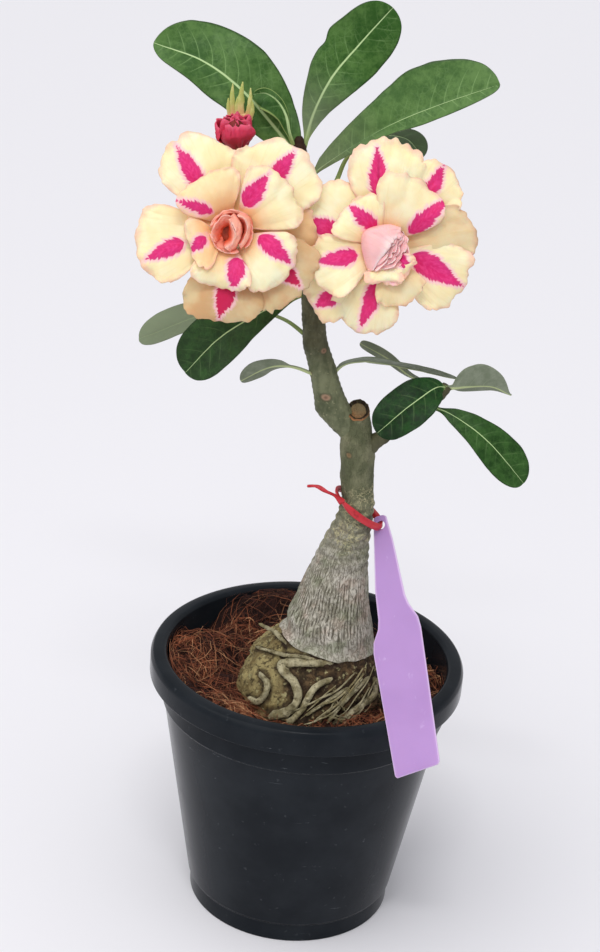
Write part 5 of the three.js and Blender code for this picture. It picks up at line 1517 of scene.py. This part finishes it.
def make_tag():
    """The plate as strips across it, with thin eased edges, and then the hole."""
    across, down, normal = tag_axes()
    corners = np.array(TAG_OUTLINE, float)
    right = np.vstack([[0, -4.7], corners[2:11], [10.4, 120.1]])
    left = np.vstack([[0, -4.7], corners[:2][::-1], corners[:10:-1]])
    share = np.linspace(0, 1, TAG_ROWS) ** 1.05
    sides = []
    for chain in (left, right):
        reach = lengths_along(chain)
        x = np.interp(share * reach[-1], reach, chain[:, 0])
        y = np.interp(share * reach[-1], reach, chain[:, 1])
        sides.append(stack(x, y))
    part = np.array([0, 0.01, 0.03, 0.07] + list(np.linspace(0.12, 0.88, 17)) + [0.93, 0.97, 0.99, 1])
    flat = mix(sides[0][:, None], sides[1][:, None], part[None, :, None])
    bow = 0.35 * np.sin(np.pi * np.clip(flat[..., 1] / 120, 0, 1))
    place = TAG_HOLE + flat[..., :1] * across + flat[..., 1:] * down + bow[..., None] * normal
    inset = np.minimum(part, 1 - part)[None] * np.abs(sides[1][:, :1] - sides[0][:, :1])
    inset = np.minimum(inset, 125 * np.minimum(share, 1 - share)[:, None])
    thickness = TAG_THICKNESS * (0.45 + 0.55 * smoothstep(inset, 0, 0.5))
    form = Form()
    form.blade(place, thickness, edge=1 - smoothstep(inset, 0.35, 0.8))
    tag = form.piece("tag_plate", tag_look(), "tag_plastic", "plant_tag")
    turn = circle(40)[None, :, None]
    ring = TAG_HOLE_RADIUS * (np.cos(turn) * across + np.sin(turn) * down)
    drill = Form()
    drill.grid(TAG_HOLE + ring + np.array([[[-3]], [[3]]]) * normal)
    cut_hole(tag, drill)


TIE_CENTRE = np.array([17.3, -8, 229.4])
TIE_LOOP_RADIUS = 10.2
TIE_REACH = 2.9
TIE_ROWS = 181
TAIL_ROWS = 120
BAND_SIDES = 28
TIE_SLOPE = math.tan(math.radians(35))
TIE_TAIL = [(10.5, -16.4, 234.4), (6.3, -16.6, 238), (1.8, -16.4, 239.8), (-2.8, -15.4, 241.6),
            (-7.6, -14, 240.7)]


def make_tie():
    """A flat coated band with a wire down its middle: a loop, then the twisted tail."""
    form = Form()
    turn = np.linspace(0, 2 * np.pi, TIE_ROWS)
    reach = TIE_LOOP_RADIUS + TIE_REACH * np.maximum(0, np.cos(turn)) ** 3
    x = reach * np.cos(turn)
    loop = TIE_CENTRE + stack(x, reach * np.sin(turn), -TIE_SLOPE * x)
    shares = shares_down(TIE_ROWS)
    add_band(form, loop, (1.85, 0.7), 0.5 * np.pi + 0.5 * np.sin(4 * np.pi * shares + 0.8))
    shares = shares_down(TAIL_ROWS)
    tail = curve(TIE_TAIL, shares[:, 0])
    add_band(form, tail, (mix(1.9, 0.85, shares**0.6), 0.65), 0.5 * np.pi + 5.5 * shares)
    form.piece("tie_wire", tie_look(), "tie_red", "twist_tie")


def add_band(form, spine, size, twist):
    """A band round a line: an oval with a raised wire down its middle, turned by the twist."""
    ahead = unit(np.gradient(spine, axis=0))
    side = unit(np.cross(ahead, np.array([0, 0, 1.0])))
    other = np.cross(ahead, side)
    ring = circle(BAND_SIDES)[None]
    shares = shares_down(len(spine))
    taper = 1 - 0.6 * smoothstep(np.abs(shares - 0.5), 0.48, 0.5)
    wide = size[0] * np.cos(ring) * taper
    thin = size[1] * np.sin(ring) * taper * (0.55 + 0.6 * np.abs(np.sin(ring)) ** 3)
    a = wide * np.cos(twist) - thin * np.sin(twist)
    b = wide * np.sin(twist) + thin * np.cos(twist)
    place = spine[:, None] + a[..., None] * side[:, None] + b[..., None] * other[:, None]
    form.grid(place)


# Pieces

make_pot()
make_coir()
make_trunk()
make_stems()
LEAF = leaf_look()
for leaf_name, leaf_shape in LEAVES.items():
    make_leaf(leaf_name, leaf_shape, LEAF)
PETAL = petal_look()
CALYX = calyx_look()
LEFT_PLACE = placement(*BLOOM_LEFT, BLOOM_ROLL)
RIGHT_PLACE = placement(*BLOOM_RIGHT, BLOOM_ROLL)
make_petals("bloom_left_corolla", LEFT_PETALS, LEFT_PLACE, PETAL, 0.75)
make_petals("bloom_right_corolla", RIGHT_PETALS, RIGHT_PLACE, PETAL, 0.25)
make_left_heart(LEFT_PLACE)
make_right_heart(RIGHT_PLACE)
make_calyx("bloom_left_calyx", LEFT_PLACE, CALYX)
make_calyx("bloom_right_calyx", RIGHT_PLACE, CALYX)
make_bud()
make_tips()
make_tag()
make_tie()


# Floor, light and camera

FLOOR_SIZE = 14
CAMERA_PLACE = np.array([-11.4, -911.4, 650.9]) * MM
CAMERA_TARGET = np.array([-11.4, 0, 239.4]) * MM
CAMERA_ROLL = math.radians(4.73)
SENSOR = 36
FOCAL = SENSOR * 2034 / 952


def make_floor():
    half = FLOOR_SIZE / 2
    mesh = bpy.data.meshes.new("floor")
    corners = [(-half, -half, 0), (half, -half, 0), (half, half, 0), (-half, half, 0)]
    mesh.from_pydata(corners, [], [(0, 1, 2, 3)])
    look = Look("floor", Roughness=0.9, Specular_IOR_Level=0.1)
    mesh.materials.append(look.finish((241, 240, 245)))
    floor = bpy.data.objects.new("floor", mesh)
    bpy.context.scene.collection.objects.link(floor)


def make_lights():
    world = bpy.data.worlds.new("studio")
    world.use_nodes = True
    sky = world.node_tree.nodes["Background"]
    sky.inputs["Color"].default_value = (0.96, 0.97, 1.0, 1.0)
    sky.inputs["Strength"].default_value = 0.56
    bpy.context.scene.world = world
    sun = bpy.data.lights.new("key", "SUN")
    sun.energy = 1.5
    sun.angle = math.radians(75)
    sun.color = (1.0, 0.985, 0.96)
    aim_light(sun, (-0.34, -0.38, 0.87), 2.0)
    box = bpy.data.lights.new("softbox", "AREA")
    box.shape = "RECTANGLE"
    box.size = 0.3
    box.size_y = 0.08
    box.energy = 2.6
    aim_light(box, (-0.03, -0.66, 0.95), 1.25)


def aim_light(data, direction, distance):
    lamp = bpy.data.objects.new(data.name, data)
    away = Vector(direction).normalized()
    lamp.location = Vector((0, 0, 0.25)) + away * distance
    lamp.rotation_euler = away.to_track_quat("Z", "Y").to_euler()
    bpy.context.scene.collection.objects.link(lamp)


def make_camera():
    data = bpy.data.cameras.new("camera")
    data.sensor_fit = "VERTICAL"
    data.sensor_height = SENSOR
    data.lens = FOCAL
    data.clip_end = 50
    camera = bpy.data.objects.new("camera", data)
    back = unit(CAMERA_PLACE - CAMERA_TARGET)
    right = unit(np.cross([0, 0, 1], back))
    up = np.cross(back, right)
    c, s = math.cos(CAMERA_ROLL), math.sin(CAMERA_ROLL)
    axes = (right * c + up * s, up * c - right * s, back)
    rotation = Matrix([list(axis) for axis in axes]).transposed()
    camera.matrix_world = Matrix.Translation(Vector(CAMERA_PLACE.tolist())) @ rotation.to_4x4()
    bpy.context.scene.collection.objects.link(camera)
    bpy.context.scene.camera = camera


make_floor()
make_lights()
make_camera()
bpy.context.scene.view_settings.view_transform = "Standard"
